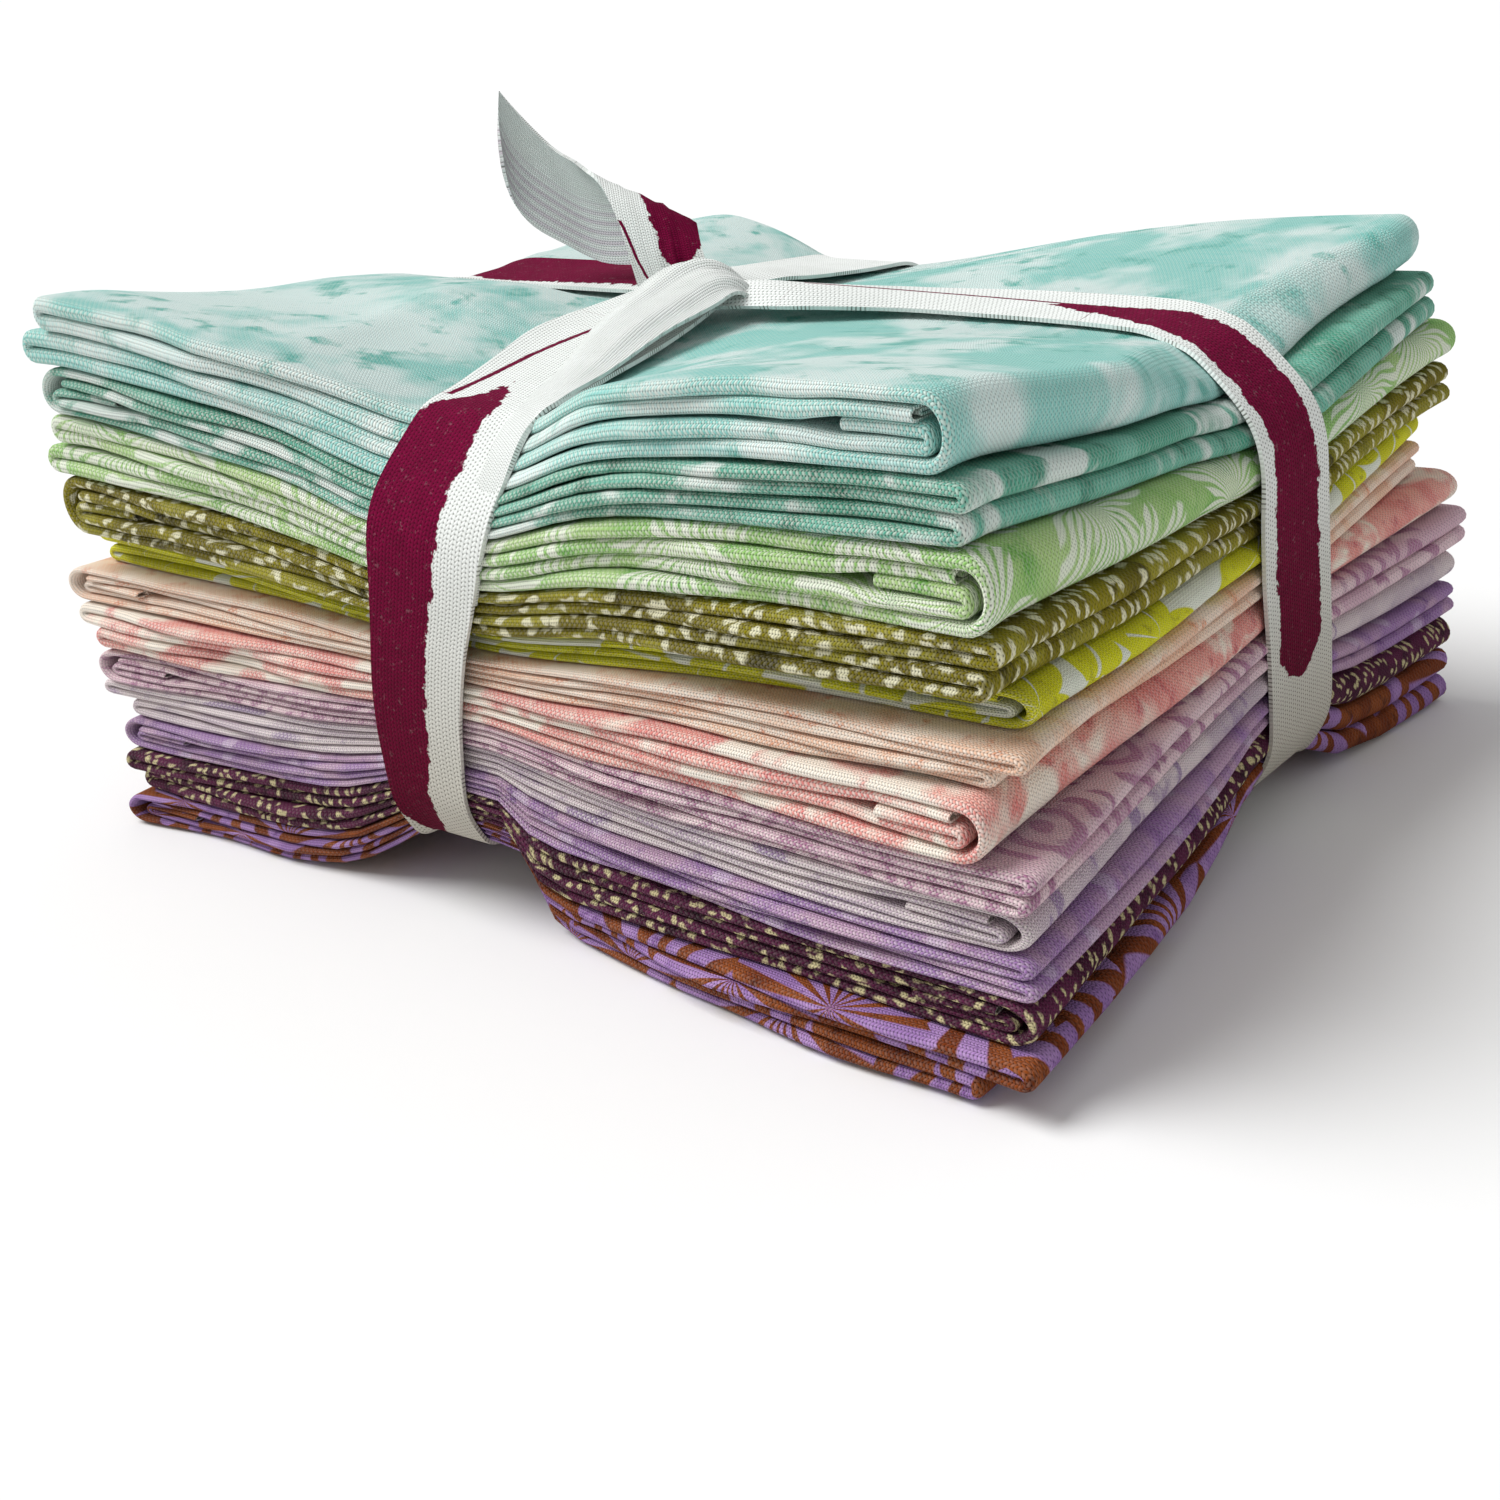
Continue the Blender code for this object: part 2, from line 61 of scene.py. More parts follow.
# Where the tape runs, and how far it draws the stack's top and bottom in at each edge and in the middle.
Edge = namedtuple("Edge", "front back left right middle")
TAPE_X = Edge(front=-5.0, back=-15.0, left=None, right=None, middle=-9.0)
TAPE_Y = Edge(front=None, back=None, left=12.0, right=12.8, middle=8.0)
TOP_AT_TAPE = Edge(front=59.5, back=57.5, left=61.3, right=61.3, middle=62.0)
BOTTOM_AT_TAPE = Edge(front=9.5, back=7.0, left=7.0, right=6.5, middle=6.0)
CRUSH = Edge(front=11.0, back=9.0, left=8.0, right=12.0, middle=0.0)
CRUSH_REACH = 36.0

# How far the puffed top has risen, and the bottom has sunk, at each distance from the tape's middle.
Sides = namedtuple("Sides", "left right front back")
TOP_RISE = Sides(
    left=((8.0, 0.0), (12.0, 0.14), (22.0, 0.45), (33.0, 0.68), (44.0, 0.82), (62.0, 1.0)),
    right=((8.0, 0.0), (12.5, 0.1), (20.0, 0.42), (26.0, 0.63), (34.0, 0.79), (47.0, 0.92), (62.0, 1.0)),
    front=((8.0, 0.0), (22.0, 0.36), (34.0, 0.54), (46.0, 0.72), (62.0, 1.0)),
    back=((8.0, 0.0), (16.0, 0.35), (24.0, 0.6), (34.0, 0.85), (44.0, 1.0)))
BACK_REACH = 2.5
# Above this share of the height the layers leave the tape as evenly as the top does.
STIFF_FROM = 0.3
# The left front quarter swells close beside its tape, and a soft crease runs from front to back on it.
NEAR_LEFT_RISE = ((6.0, 0.0), (9.0, 0.26), (13.0, 0.4), (20.0, 0.5), (34.0, 0.62), (46.0, 0.76), (62.0, 1.0))
CREASE_X = -36.0
CREASE_HIGH = 0.8
CREASE_WIDE = 3.2
CREASE_SWAY = 2.5
# How much flatter the top is over the back left quarter, and further out towards its corner.
BACK_LEFT_FLAT = 0.14
BACK_CORNER_FLAT = 0.8
# Over what distance the corners of the rise and the fall are rounded.
TOP_SOFTEN = 3.0
BOTTOM_SOFTEN = 1.5
BOTTOM_FALL = Sides(
    left=((8.0, 0.0), (22.0, 0.85), (32.0, 1.0)),
    right=((8.0, 0.0), (12.0, 1.0)),
    front=((8.0, 0.0), (20.0, 0.7), (34.0, 1.0)),
    back=((8.0, 0.0), (15.0, 0.6), (22.0, 1.0)))

# The stack's edge under a tape, from the floor up: level is the share of its height, pull the share of
# CRUSH by which the edge is drawn in there, and out and up the way in which the tape stands off it.
Roll = namedtuple("Roll", "level pull out up")
ROLLS = (
    Roll(0.0, 0.3, 0.7, -0.7),
    Roll(0.1, 0.0, 1.0, 0.0),
    Roll(0.76, 0.0, 1.0, 0.0),
    Roll(0.84, 0.12, 1.0, 0.35),
    Roll(0.92, 0.5, 1.0, 0.35),
    Roll(1.0, 1.0, 0.7, 0.7),
)

# One row for each fat quarter, from the bottom up. wrap is the end that the outer passes wrap round:
# 1 is the right end and -1 the left. near, left, right and back say how far that corner stands out past
# the plain oblong, in x and in y. fold_step is how much further out the lower of the two closed folds
# is than the upper one. recess sets the whole front edge back. thick is the thickness at each corner, as
# a share of the whole stack's height there.
Fabric = namedtuple("Fabric", "name wrap near left right back fold_step recess thick")
FABRICS = (
    Fabric("rust", -1, (7.5, 6.0), (-0.5, 1.8), (2.0, 1.5), (1, 1), -4.5, 0.0, Corner(6.8, 4.2, 7.6, 6.5)),
    Fabric("plum", 1, (6.5, 2.2), (-0.5, 1.0), (2.0, 1.0), (1, 1), -1.6, 0.0, Corner(5.1, 6.3, 4.8, 5.0)),
    Fabric("lavender", -1, (5.6, 2.2), (0.2, 0.6), (2.0, 1.0), (1, 0), 0.4, 0.0, Corner(4.3, 4.3, 4.9, 4.8)),
    Fabric("grey", 1, (5.0, 1.8), (3.5, 0.5), (2.0, 1.0), (1, 1), -4.0, 0.6, Corner(4.8, 5.0, 4.8, 5.0)),
    Fabric("mauve", -1, (6.0, 1.6), (3.0, 0.0), (2.5, 2.2), (2, 1), -0.2, 0.0, Corner(4.8, 4.5, 6.3, 5.6)),
    Fabric("coral", 1, (1.6, 2.0), (6.0, 0.5), (2.0, 1.2), (1, 2), -2.6, 0.0, Corner(7.0, 6.2, 5.3, 6.0)),
    Fabric("peach", -1, (4.8, 0.0), (8.0, 0.0), (-2.0, -3.0), (0, 0), -3.0, 0.8, Corner(5.0, 5.0, 5.0, 5.0)),
    Fabric("yellow", 1, (3.2, -3.0), (5.0, -2.0), (-2.0, -3.0), (-1, -1), -1.4, 3.0,
           Corner(4.3, 5.0, 4.6, 4.8)),
    Fabric("olive", -1, (2.2, 0.0), (4.5, 0.0), (0.5, 0.0), (1, 1), -0.8, 0.0, Corner(6.8, 8.2, 6.2, 6.0)),
    Fabric("green", 1, (1.8, 0.0), (3.0, 0.0), (1.5, 0.6), (0, 1), 1.8, 0.0, Corner(8.8, 8.2, 5.6, 7.0)),
    Fabric("mint", -1, (-0.4, 0.0), (3.0, 0.0), (-0.8, -2.6), (0, -1), -0.8, 0.0,
           Corner(6.8, 6.5, 7.2, 6.0)),
    Fabric("aqua", 1, (-1.8, 0.0), (0.6, 0.0), (-4.0, -2.5), (-2, -2), 3.4, 0.0, Corner(8.6, 9.6, 7.6, 8.0)),
)


def smooth(value, low, high):
    """0 at low, 1 at high, and an even step between them."""
    share = np.clip((value - low) / (high - low), 0, 1)
    return share * share * (3 - 2 * share)


def read(table, value, soften=0.0):
    """The line through (place, result) pairs, with its corners rounded over a distance of soften."""
    places, results = zip(*table)
    steps = np.linspace(-soften, soften, 5) if soften else (0.0,)
    return sum(np.interp(value + step, places, results) for step in steps) / len(steps)


def waver(seed, length, *places):
    """A smooth uneven value between about -1 and 1, which changes over about one length."""
    draws = np.random.default_rng(seed)
    total = 0.0
    for _ in range(5):
        heading = draws.normal(size=len(places))
        heading /= np.linalg.norm(heading)
        turn = 2 * math.pi / (length * draws.uniform(0.6, 1.7))
        phase = draws.uniform(0, 2 * math.pi)
        total = total + np.sin(turn * sum(part * place for part, place in zip(heading, places)) + phase)
    return total / 2.6


def tape_x(y):
    return np.interp(y, (-HALF_Y, TAPE_Y.middle, HALF_Y), (TAPE_X.front, TAPE_X.middle, TAPE_X.back))


def tape_y(x):
    return np.interp(x, (-HALF_X, TAPE_X.middle, HALF_X), (TAPE_Y.left, TAPE_Y.middle, TAPE_Y.right))


def along(values, x, y):
    """A height that varies along both tapes, taken from the nearer one of them."""
    on_x = np.interp(x, (-HALF_X, TAPE_X.middle, HALF_X), (values.left, values.middle, values.right))
    on_y = np.interp(y, (-HALF_Y, TAPE_Y.middle, HALF_Y), (values.front, values.middle, values.back))
    from_x = np.maximum(np.abs(x - tape_x(y)) - TAPE_WIDTH / 2, 0) + 0.5
    from_y = np.maximum(np.abs(y - tape_y(x)) - TAPE_WIDTH / 2, 0) + 0.5
    return (on_x * from_x + on_y * from_y) / (from_x + from_y)


def corner_mix(values, x, y):
    """A value between the four corners' own, at x and y."""
    u = np.clip((x + HALF_X) / (2 * HALF_X), 0, 1)
    v = np.clip((y + HALF_Y) / (2 * HALF_Y), 0, 1)
    return ((values.left * (1 - u) + values.near * u) * (1 - v)
            + (values.back * (1 - u) + values.right * u) * v)


def away(tables, x, y, soften, back_reach=1.0):
    """How far from both tapes a place is, from 0 under either of them to 1 well away from both."""
    from_x, from_y = x - tape_x(y), y - tape_y(x)
    reach = 1 + (back_reach - 1) * np.clip(from_y / (HALF_Y - TAPE_Y.middle), 0, 1)
    on_right = np.maximum(from_x - TAPE_WIDTH / 2, 0) / reach + np.minimum(from_x, TAPE_WIDTH / 2)
    in_x = np.where(from_x > 0, read(tables.right, on_right, soften), read(tables.left, -from_x, soften))
    in_y = np.where(from_y > 0, read(tables.back, from_y, soften), read(tables.front, -from_y, soften))
    return in_x * in_y


def top_height(x, y):
    """The top of the stack: puffed between the tapes and pressed in under them."""
    low = along(TOP_AT_TAPE, x, y)
    rise = away(TOP_RISE, x, y, TOP_SOFTEN, BACK_REACH)
    from_y = y - tape_y(x)
    on_left = smooth(tape_x(y) - x, 10, 30)
    swollen = on_left * smooth(-from_y, 2, 8) * smooth(from_y, -40, -24)
    rise = rise + (read(NEAR_LEFT_RISE, -from_y, 2.0) - rise) * swollen
    flat = BACK_LEFT_FLAT * on_left + BACK_CORNER_FLAT * smooth(-x, 42, 70)
    rise = rise * (1 - flat * smooth(from_y, 6, 20))
    sway = CREASE_SWAY * np.sin(y * 0.09)
    crease = np.exp(-((x - CREASE_X - sway) / CREASE_WIDE) ** 2) * smooth(-from_y, 14, 30)
    crease = crease * smooth(-y, -12, 10) * smooth(y, -HALF_Y, 18 - HALF_Y)
    return low + (corner_mix(TOP_AT_CORNER, x, y) - low) * rise + CREASE_HIGH * crease


def bottom_height(x, y, level=0.0):
    """The underside, drawn up where the tapes pass under, as it still shows at a level of the stack."""
    even = smooth(level, 0.0, STIFF_FROM)
    fall = away(BOTTOM_FALL, x, y, BOTTOM_SOFTEN) * (1 - even)
    fall = fall + away(TOP_RISE, x, y, TOP_SOFTEN, BACK_REACH) * even
    return along(BOTTOM_AT_TAPE, x, y) * (1 - fall)


def beyond_tape(distance, reach):
    """Nothing under the tape, and one at the corner."""
    return np.maximum(distance - TAPE_WIDTH / 2, 0) / (reach - TAPE_WIDTH / 2)


def pulled(distance):
    """One under the tape, and nothing where its pull on the edge has died away."""
    return np.maximum(1 - beyond_tape(distance, CRUSH_REACH), 0)


def share_below(index, x, y):
    """The shares of the stack's height that lie below one fat quarter and in it."""
    parts = [corner_mix(fabric.thick, x, y) for fabric in FABRICS]
    total = sum(parts)
    return sum(parts[:index]) / total, parts[index] / total


def metres(x, y, z):
    """A point in the stack's own millimetres, in Blender's metres."""
    return np.stack([(x + ORIGIN[0]) * MM, (y + ORIGIN[1]) * MM, z * MM], axis=-1)


# The folded sheet before the tape bends it. PASS is the height that each pass of the strip takes up.
PASS = 1.5
LAYER = 0.36
THREAD_HALF = 0.14
STRIP_HALF = 1.5 * LAYER + THREAD_HALF
FOLD_DEEP = 0.9
WRAP_DEEP = 2.6
TUBE_ROOM = 3.6
FLAP_ROOM = 2.3
FLAP_LONG = 9.5
# Near the wrap a fifth strip, the flap, shares the height with the four passes.
CROWD_FROM = 20.0
CROWD_WHOLE = 12.5
OPEN_SLOTS = (0.5, 1.5, 2.0, 2.5, 3.5)
CROWDED_SLOTS = (0.4, 1.2, 2.0, 2.8, 3.6)
CROWDED_THICK = 0.8
LOWEST, SECOND, FLAP, THIRD, HIGHEST = range(5)


def slot(number, x):
    """The middle height of a strip's place in the section, x from the middle towards the wrap."""
    crowd = smooth(x, HALF_X - CROWD_FROM, HALF_X - CROWD_WHOLE)
    return PASS * (OPEN_SLOTS[number] * (1 - crowd) + CROWDED_SLOTS[number] * crowd)


def turn_points(x, low, high, deep, count, up):
    """A half round turn between two heights: out past x by deep, and from low to high if up is set."""
    angles = np.linspace(-math.pi / 2, math.pi / 2, count + 2)[1:-1] * (1 if up else -1)
    return x + deep * np.cos(angles), (low + high) / 2 + (high - low) / 2 * np.sin(angles)


def length_path(lines):
    """The strip's middle line from end to end: x, height, and how far it stands out at the fold end.

    lines are the places of the rows on a pass, from the fold end to the wrap end."""
    fold = -HALF_X + STRIP_HALF + FOLD_DEEP
    wrap = HALF_X - STRIP_HALF - WRAP_DEEP
    turn = HALF_X - 2 * STRIP_HALF - FLAP_ROOM
    pieces = []

    def level(number, start, end):
        inner = lines[(lines > min(start, end)) & (lines < max(start, end))]
        xs = np.concatenate([[start], inner if end > start else inner[::-1], [end]])
        pieces.append((xs, slot(number, xs), number))

    def bend(x, from_slot, to_slot, deep, count, side):
        low, high = slot(from_slot, x), slot(to_slot, x)
        xs, heights = turn_points(0.0, min(low, high), max(low, high), deep, count, high > low)
        pieces.append((x + side * xs, heights, from_slot if side < 0 else HIGHEST))

    level(FLAP, turn - FLAP_LONG, turn)
    bend(turn, FLAP, SECOND, 0.7, 5, 1)
    level(SECOND, turn, fold)
    bend(fold, SECOND, LOWEST, FOLD_DEEP, 6, -1)
    level(LOWEST, fold, wrap)
    bend(wrap, LOWEST, HIGHEST, WRAP_DEEP, 12, 1)
    level(HIGHEST, wrap, fold)
    bend(fold, HIGHEST, THIRD, FOLD_DEEP, 6, -1)
    level(THIRD, fold, HALF_X - STRIP_HALF - TUBE_ROOM)
    x = np.concatenate([piece[0] for piece in pieces])
    height = np.concatenate([piece[1] for piece in pieces])
    lower = np.concatenate([np.full(len(piece[0]), piece[2] in (FLAP, SECOND, LOWEST)) for piece in pieces])
    return x, height, lower


def width_path(lines):
    """The four layers' line across the cloth, from one cut edge to the other: y, and height in the strip.

    lines are the places of the columns on a layer, from the front fold to the back."""
    outer, inner = 1.5 * LAYER, 0.5 * LAYER
    front, inside, back = -HALF_Y + 0.85 + THREAD_HALF, -HALF_Y + 1.9, HALF_Y - 0.6
    pieces = []

    def level(height, start, end):
        middle = lines[(lines > min(start, end)) & (lines < max(start, end))]
        ys = np.concatenate([[start], middle if end > start else middle[::-1], [end]])
        pieces.append((ys, np.full(len(ys), height)))

    level(outer, HALF_Y - 0.1, front)
    ys, heights = turn_points(0.0, -outer, outer, 0.85, 7, False)
    pieces.append((front - ys, heights))
    level(-outer, front, back)
    ys, heights = turn_points(back, -outer, -inner, 0.35, 3, True)
    pieces.append((ys, heights))
    level(-inner, back, inside)
    ys, heights = turn_points(0.0, -inner, inner, 0.35, 3, True)
    pieces.append((inside - ys, heights))
    level(inner, inside, HALF_Y - 0.5)
    return np.concatenate([piece[0] for piece in pieces]), np.concatenate([piece[1] for piece in pieces])


def distances(a, b):
    """The running length along a line of points, and its unit normals, turned right of its heading."""
    steps = np.hypot(np.diff(a), np.diff(b))
    run = np.concatenate([[0.0], np.cumsum(steps)])
    da, db = np.gradient(a, run), np.gradient(b, run)
    size = np.hypot(da, db)
    return run, db / size, -da / size


def edge_lines(half, wide, fine, coarse):
    """Places from -half to half, fine apart within wide of both ends, and coarse apart between."""
    end = np.arange(0, wide, fine)
    middle = np.linspace(-half + wide, half - wide, max(int(2 * (half - wide) / coarse), 2))
    return np.concatenate([-half + end, middle, (half - end)[::-1]])


def bend_to_stack(index, x, y, height):
    """Moves points of the folded sheet to the stack's own shape. x runs to the right of the stack."""
    fabric = FABRICS[index]
    below, part = share_below(index, x, y)
    level = below + part * (0.012 + 0.976 * height / (4 * PASS))
    pull = read([(roll.level, roll.pull) for roll in ROLLS], level, 0.03)
    right, back = x > tape_x(y), y > tape_y(x)
    corner = {name: getattr(fabric, name) for name in Corner._fields}

    def at_corner(axis):
        return np.where(right, np.where(back, corner["right"][axis], corner["near"][axis]),
                        np.where(back, corner["back"][axis], corner["left"][axis]))

    from_y = np.abs(y - tape_y(x))
    out_x = at_corner(0) * beyond_tape(from_y, np.where(back, HALF_Y, -HALF_Y) * np.where(back, 1, -1)
                                       - np.where(back, 1, -1) * tape_y(x))
    out_x = out_x - np.where(x > 0, CRUSH.right, CRUSH.left) * pull * pulled(from_y)
    from_x = np.abs(x - tape_x(y))
    out_y = at_corner(1) * beyond_tape(from_x, HALF_X - np.where(right, 1, -1) * tape_x(y))
    out_y = out_y - np.where(y > 0, CRUSH.back, CRUSH.front) * pull * pulled(from_x)
    out_y = out_y - np.where(y < 0, fabric.recess, 0.0)
    to_x = np.clip((np.abs(x) - 28) / (HALF_X - 28), 0, 1.05)
    to_y = np.clip((np.abs(y) - 22) / (HALF_Y - 22), 0, 1.05)
    new_x = x + np.sign(x) * out_x * to_x
    new_y = y + np.sign(y) * out_y * to_y
    low, high = bottom_height(new_x, new_y, level), top_height(new_x, new_y)
    return new_x, new_y, low * (1 - level) + high * level


def fold_cloth(index, row_lines, column_lines):
    """One fat quarter's points, folded and bent: an array of rows, columns and the two faces."""
    fabric = FABRICS[index]
    x, height, lower = length_path(row_lines)
    run, nx, nh = distances(x, height)
    y, offset = width_path(column_lines)
    across, ny, no = distances(y, offset)
    run *= CLOTH_LENGTH / run[-1]
    across *= CLOTH_WIDTH / across[-1]
    face = np.array([1.0, -1.0])[None, None, :]
    y3 = y[None, :, None] + THREAD_HALF * ny[None, :, None] * face
    o3 = offset[None, :, None] + THREAD_HALF * no[None, :, None] * face
    crowd = smooth(x, HALF_X - CROWD_FROM, HALF_X - CROWD_WHOLE)
    thick = (1 - (1 - CROWDED_THICK) * crowd) * (0.95 + 0.05 * waver(index * 7 + 1, 30, run))
    nose = 1 + 0.1 * np.exp(-((y + HALF_Y - 1.5) / 2.0) ** 2)
    o3 = o3 * nose[None, :, None] * thick[:, None, None]
    x3 = x[:, None, None] + nx[:, None, None] * o3
    h3 = height[:, None, None] + nh[:, None, None] * o3
    y3 = np.broadcast_to(y3, x3.shape)
    nose_share = smooth(-y3, HALF_Y - 1.6, HALF_Y - 0.2)
    run3 = np.broadcast_to(run[:, None, None], x3.shape)
    edge = np.clip(-y3 / HALF_Y, 0, 1) ** 6
    open_x = smooth(np.abs(x3 * fabric.wrap - tape_x(-HALF_Y)), 8, 26)
    y3 = y3 + edge * (0.15 + 0.5 * open_x) * waver(index * 7 + 2, 45, run3)
    h3 = h3 + 0.08 * PASS * waver(index * 7 + 3, 40, run3, y3 * 0.3) * open_x * edge
    back_edge = np.clip(y3 / HALF_Y, 0, 1) ** 6
    y3 = y3 + back_edge * 0.7 * waver(index * 7 + 4, 60, run3, across[None, :, None] * 3.0)
    end = np.clip((np.abs(x3) / HALF_X - 0.5) / 0.5, 0, 1.05)
    outwards = np.where(x3 > 0, 1.0, -1.0)
    front_half = beyond_tape(np.maximum(tape_y(x3) - y3, 0), HALF_Y)
    step = np.where(lower[:, None, None] & (x3 < 0), fabric.fold_step, 0.0) * front_half
    x3 = x3 + outwards * end * (step + 0.5 * waver(index * 7 + 5, 55, y3, h3 * 4))
    bent = bend_to_stack(index, x3 * fabric.wrap, y3, h3)
    cloth = np.stack([run3, np.broadcast_to(across[None, :, None], x3.shape),
                      np.broadcast_to(face, x3.shape)], axis=-1)
    return metres(*bent), cloth, nose_share


def sheet_object(name, points, cloth):
    """A closed sheet from its points, an array of rows, columns and two faces."""
    rows, columns = points.shape[:2]
    number = np.arange(rows * columns * 2).reshape(rows, columns, 2)

    def quads(grid):
        return np.stack([grid[:-1, :-1], grid[1:, :-1], grid[1:, 1:], grid[:-1, 1:]], axis=-1).reshape(-1, 4)

    rims = [number[0, :, ::-1], number[-1], number[:, 0], number[:, -1, ::-1]]
    faces = np.concatenate([quads(number[:, :, 0]), quads(number[:, :, 1].T)]
                           + [quads(rim.T) for rim in rims])
    mesh = bpy.data.meshes.new(name)
    mesh.from_pydata(points.reshape(-1, 3).tolist(), [], faces.tolist())
    held = mesh.attributes.new("cloth", "FLOAT_VECTOR", "POINT")
    held.data.foreach_set("vector", cloth.reshape(-1).astype(np.float32))
    bm = bmesh.new()
    bm.from_mesh(mesh)
    bmesh.ops.recalc_face_normals(bm, faces=bm.faces[:])
    bm.to_mesh(mesh)
    bm.free()
    mesh.shade_smooth()
    mesh.set_sharp_from_angle(angle=math.radians(60))
    made = bpy.data.objects.new(name, mesh)
    bpy.context.scene.collection.objects.link(made)
    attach(made, "root")
    return made


# How far apart a sheet's rows and columns are, near its folds and between them. The top cloth shows its
# whole face, so its own are closer.
Spacing = namedtuple("Spacing", "row_edge row_middle column_edge column_middle")
SPACING = Spacing(row_edge=2.2, row_middle=4.2, column_edge=2.5, column_middle=9.0)
TOP_SPACING = Spacing(row_edge=1.5, row_middle=2.2, column_edge=1.5, column_middle=2.2)
ROW_EDGE_WIDE = 9.0
COLUMN_EDGE_WIDE = 6.0


def fat_quarter(index):
    fabric = FABRICS[index]
    spacing = TOP_SPACING if fabric.name == "aqua" else SPACING
    rows = edge_lines(HALF_X, ROW_EDGE_WIDE, spacing.row_edge, spacing.row_middle)
    columns = edge_lines(HALF_Y, COLUMN_EDGE_WIDE, spacing.column_edge, spacing.column_middle)
    points, cloth, nose = fold_cloth(index, rows, columns)
    made = sheet_object("cotton_" + fabric.name, points, cloth)
    held = made.data.attributes.new("nose", "FLOAT", "POINT")
    held.data.foreach_set("value", nose.reshape(-1).astype(np.float32))
    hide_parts("fat_quarter_" + fabric.name)
    return made


# The tape. A strand runs from the knot over the top, down one face and under the stack. Over holds its
# two edges in plan, how far it stands off the cloth, and how far its middle is crowned up. Down holds
# its two edges along the face at a level from 1 at the top to 0 at the bottom.
TAPE_THICK = 0.5
TAPE_LIFT = 0.6
TAPE_COLUMNS = 15
TAPE_STEP = 1.0
# The loose ribbons' weave is this many times finer than the strands'.
RIBBON_FINE = 1.6
Over = namedtuple("Over", "low high raised crown")
Down = namedtuple("Down", "level low high")
Strand = namedtuple("Strand", "across sign over down ink line")
STRANDS = (
    Strand(
        across=False, sign=-1,
        over=(Over((-19.0, 3.0), (-4.0, 1.0), 1.5, 0.4), Over((-20.0, -6.0), (-1.5, -8.0), 0.9, 0.3),
              Over((-20.0, -19.0), (1.2, -19.5), 0.4, 0.2), Over((-16.4, -31.0), (3.6, -31.0), 0.2, 0.0),
              Over((-14.0, -40.0), (6.4, -40.0), 0.0, 0.0), Over((-12.8, -46.0), (7.4, -47.0), 0.0, 0.0)),
        down=(Down(1.0, -12.4, 7.4), Down(0.9, -12.8, 6.8), Down(0.8, -12.9, 5.6), Down(0.7, -13.2, 4.2),
              Down(0.6, -14.0, 2.4), Down(0.5, -15.0, 0.4), Down(0.4, -16.0, -1.0), Down(0.3, -16.4, -2.0),
              Down(0.15, -15.8, -2.8), Down(0.0, -15.2, -3.2)),
        ink=((0, 0.7, 0.3), (39, 0.38, 0.34), (41, 0.33, 0.4), (44, 0.26, 0.46), (46, 0.16, 0.5),
             (49, 0.03, 0.53), (56, -0.1, 0.58), (70, -0.1, 0.62),
             (95, -0.1, 0.6), (104, 0.05, 0.5), (109, 0.34, 0.32), (110, 0.7, 0.3)),
        line=((0, -1), (12, -1), (13, 0.42), (30, 0.2), (46, 0.05), (47, -1))),
    Strand(
        across=True, sign=1,
        over=(Over((-5.0, -4.0), (-7.0, 5.0), 1.2, 1.8), Over((0.5, -3.0), (-1.0, 7.0), 1.3, 1.9),
              Over((7.0, -2.2), (5.0, 9.5), 1.2, 1.5),
              Over((13.0, 0.8), (12.0, 13.5), 0.9, 0.9), Over((20.0, 5.0), (19.5, 16.5), 0.4, 0.5),
              Over((31.0, 6.8), (31.0, 19.0), 0.1, 0.2), Over((45.0, 7.2), (45.0, 20.0), 0.0, 0.0),
              Over((53.0, 6.2), (53.0, 20.0), 0.0, 0.0)),
        down=(Down(1.0, 4.0, 19.0), Down(0.9, 3.0, 18.4), Down(0.8, 2.2, 18.4), Down(0.65, 1.8, 19.0),
              Down(0.5, 2.4, 19.8), Down(0.35, 3.8, 20.6), Down(0.2, 4.6, 21.2), Down(0.0, 5.2, 21.6)),
        ink=((0, 0.7, 0.3), (40, 0.7, 0.3), (46, 0.46, 0.6), (54, 0.3, 0.66), (60, 0.16, 0.72),
             (72, 0.16, 0.82), (110, 0.16, 0.82), (113, 0.3, 0.6), (115, 0.7, 0.3)),
        line=((0, -1), (11, -1), (12, 0.62), (52, 0.6), (53, -1))),
    Strand(
        across=True, sign=-1,
        over=(Over((-14.0, 1.0), (-13.0, 15.0), 1.3, 0.5), Over((-24.0, 3.0), (-24.0, 19.0), 0.5, 0.8),
              Over((-36.0, 4.0), (-36.0, 20.0), 0.1, 0.6), Over((-48.0, 4.4), (-48.0, 20.2), 0.0, 0.1),
              Over((-58.0, 4.4), (-58.0, 20.2), 0.0, 0.0)),
        down=(Down(1.0, 4.2, 20.2), Down(0.8, 4.0, 20.0), Down(0.5, 4.0, 20.0), Down(0.0, 4.0, 20.0)),
        ink=((0, 0.12, 1.1), (40, 0.12, 1.1), (52, 0.48, 1.1), (200, 0.48, 1.1)),
        line=((0, -1), (1, -1))),
    Strand(
        across=False, sign=1,
        over=(Over((-20.0, 8.0), (-6.0, 9.0), 1.2, 0.8), Over((-20.0, 20.0), (-5.0, 20.0), 0.8, 0.8),
              Over((-21.5, 34.0), (-5.5, 34.0), 0.2, 0.2), Over((-22.0, 45.0), (-6.0, 45.0), 0.0, 0.0)),
        down=(Down(1.0, -23.0, -7.0), Down(0.8, -23.0, -7.0), Down(0.5, -23.0, -7.0),
              Down(0.0, -23.0, -7.0)),
        ink=((0, 0.7, 0.3), (60, 0.7, 0.3), (64, 0.3, 0.85), (200, 0.3, 0.85)),
        line=((0, -1), (1, -1))),
)

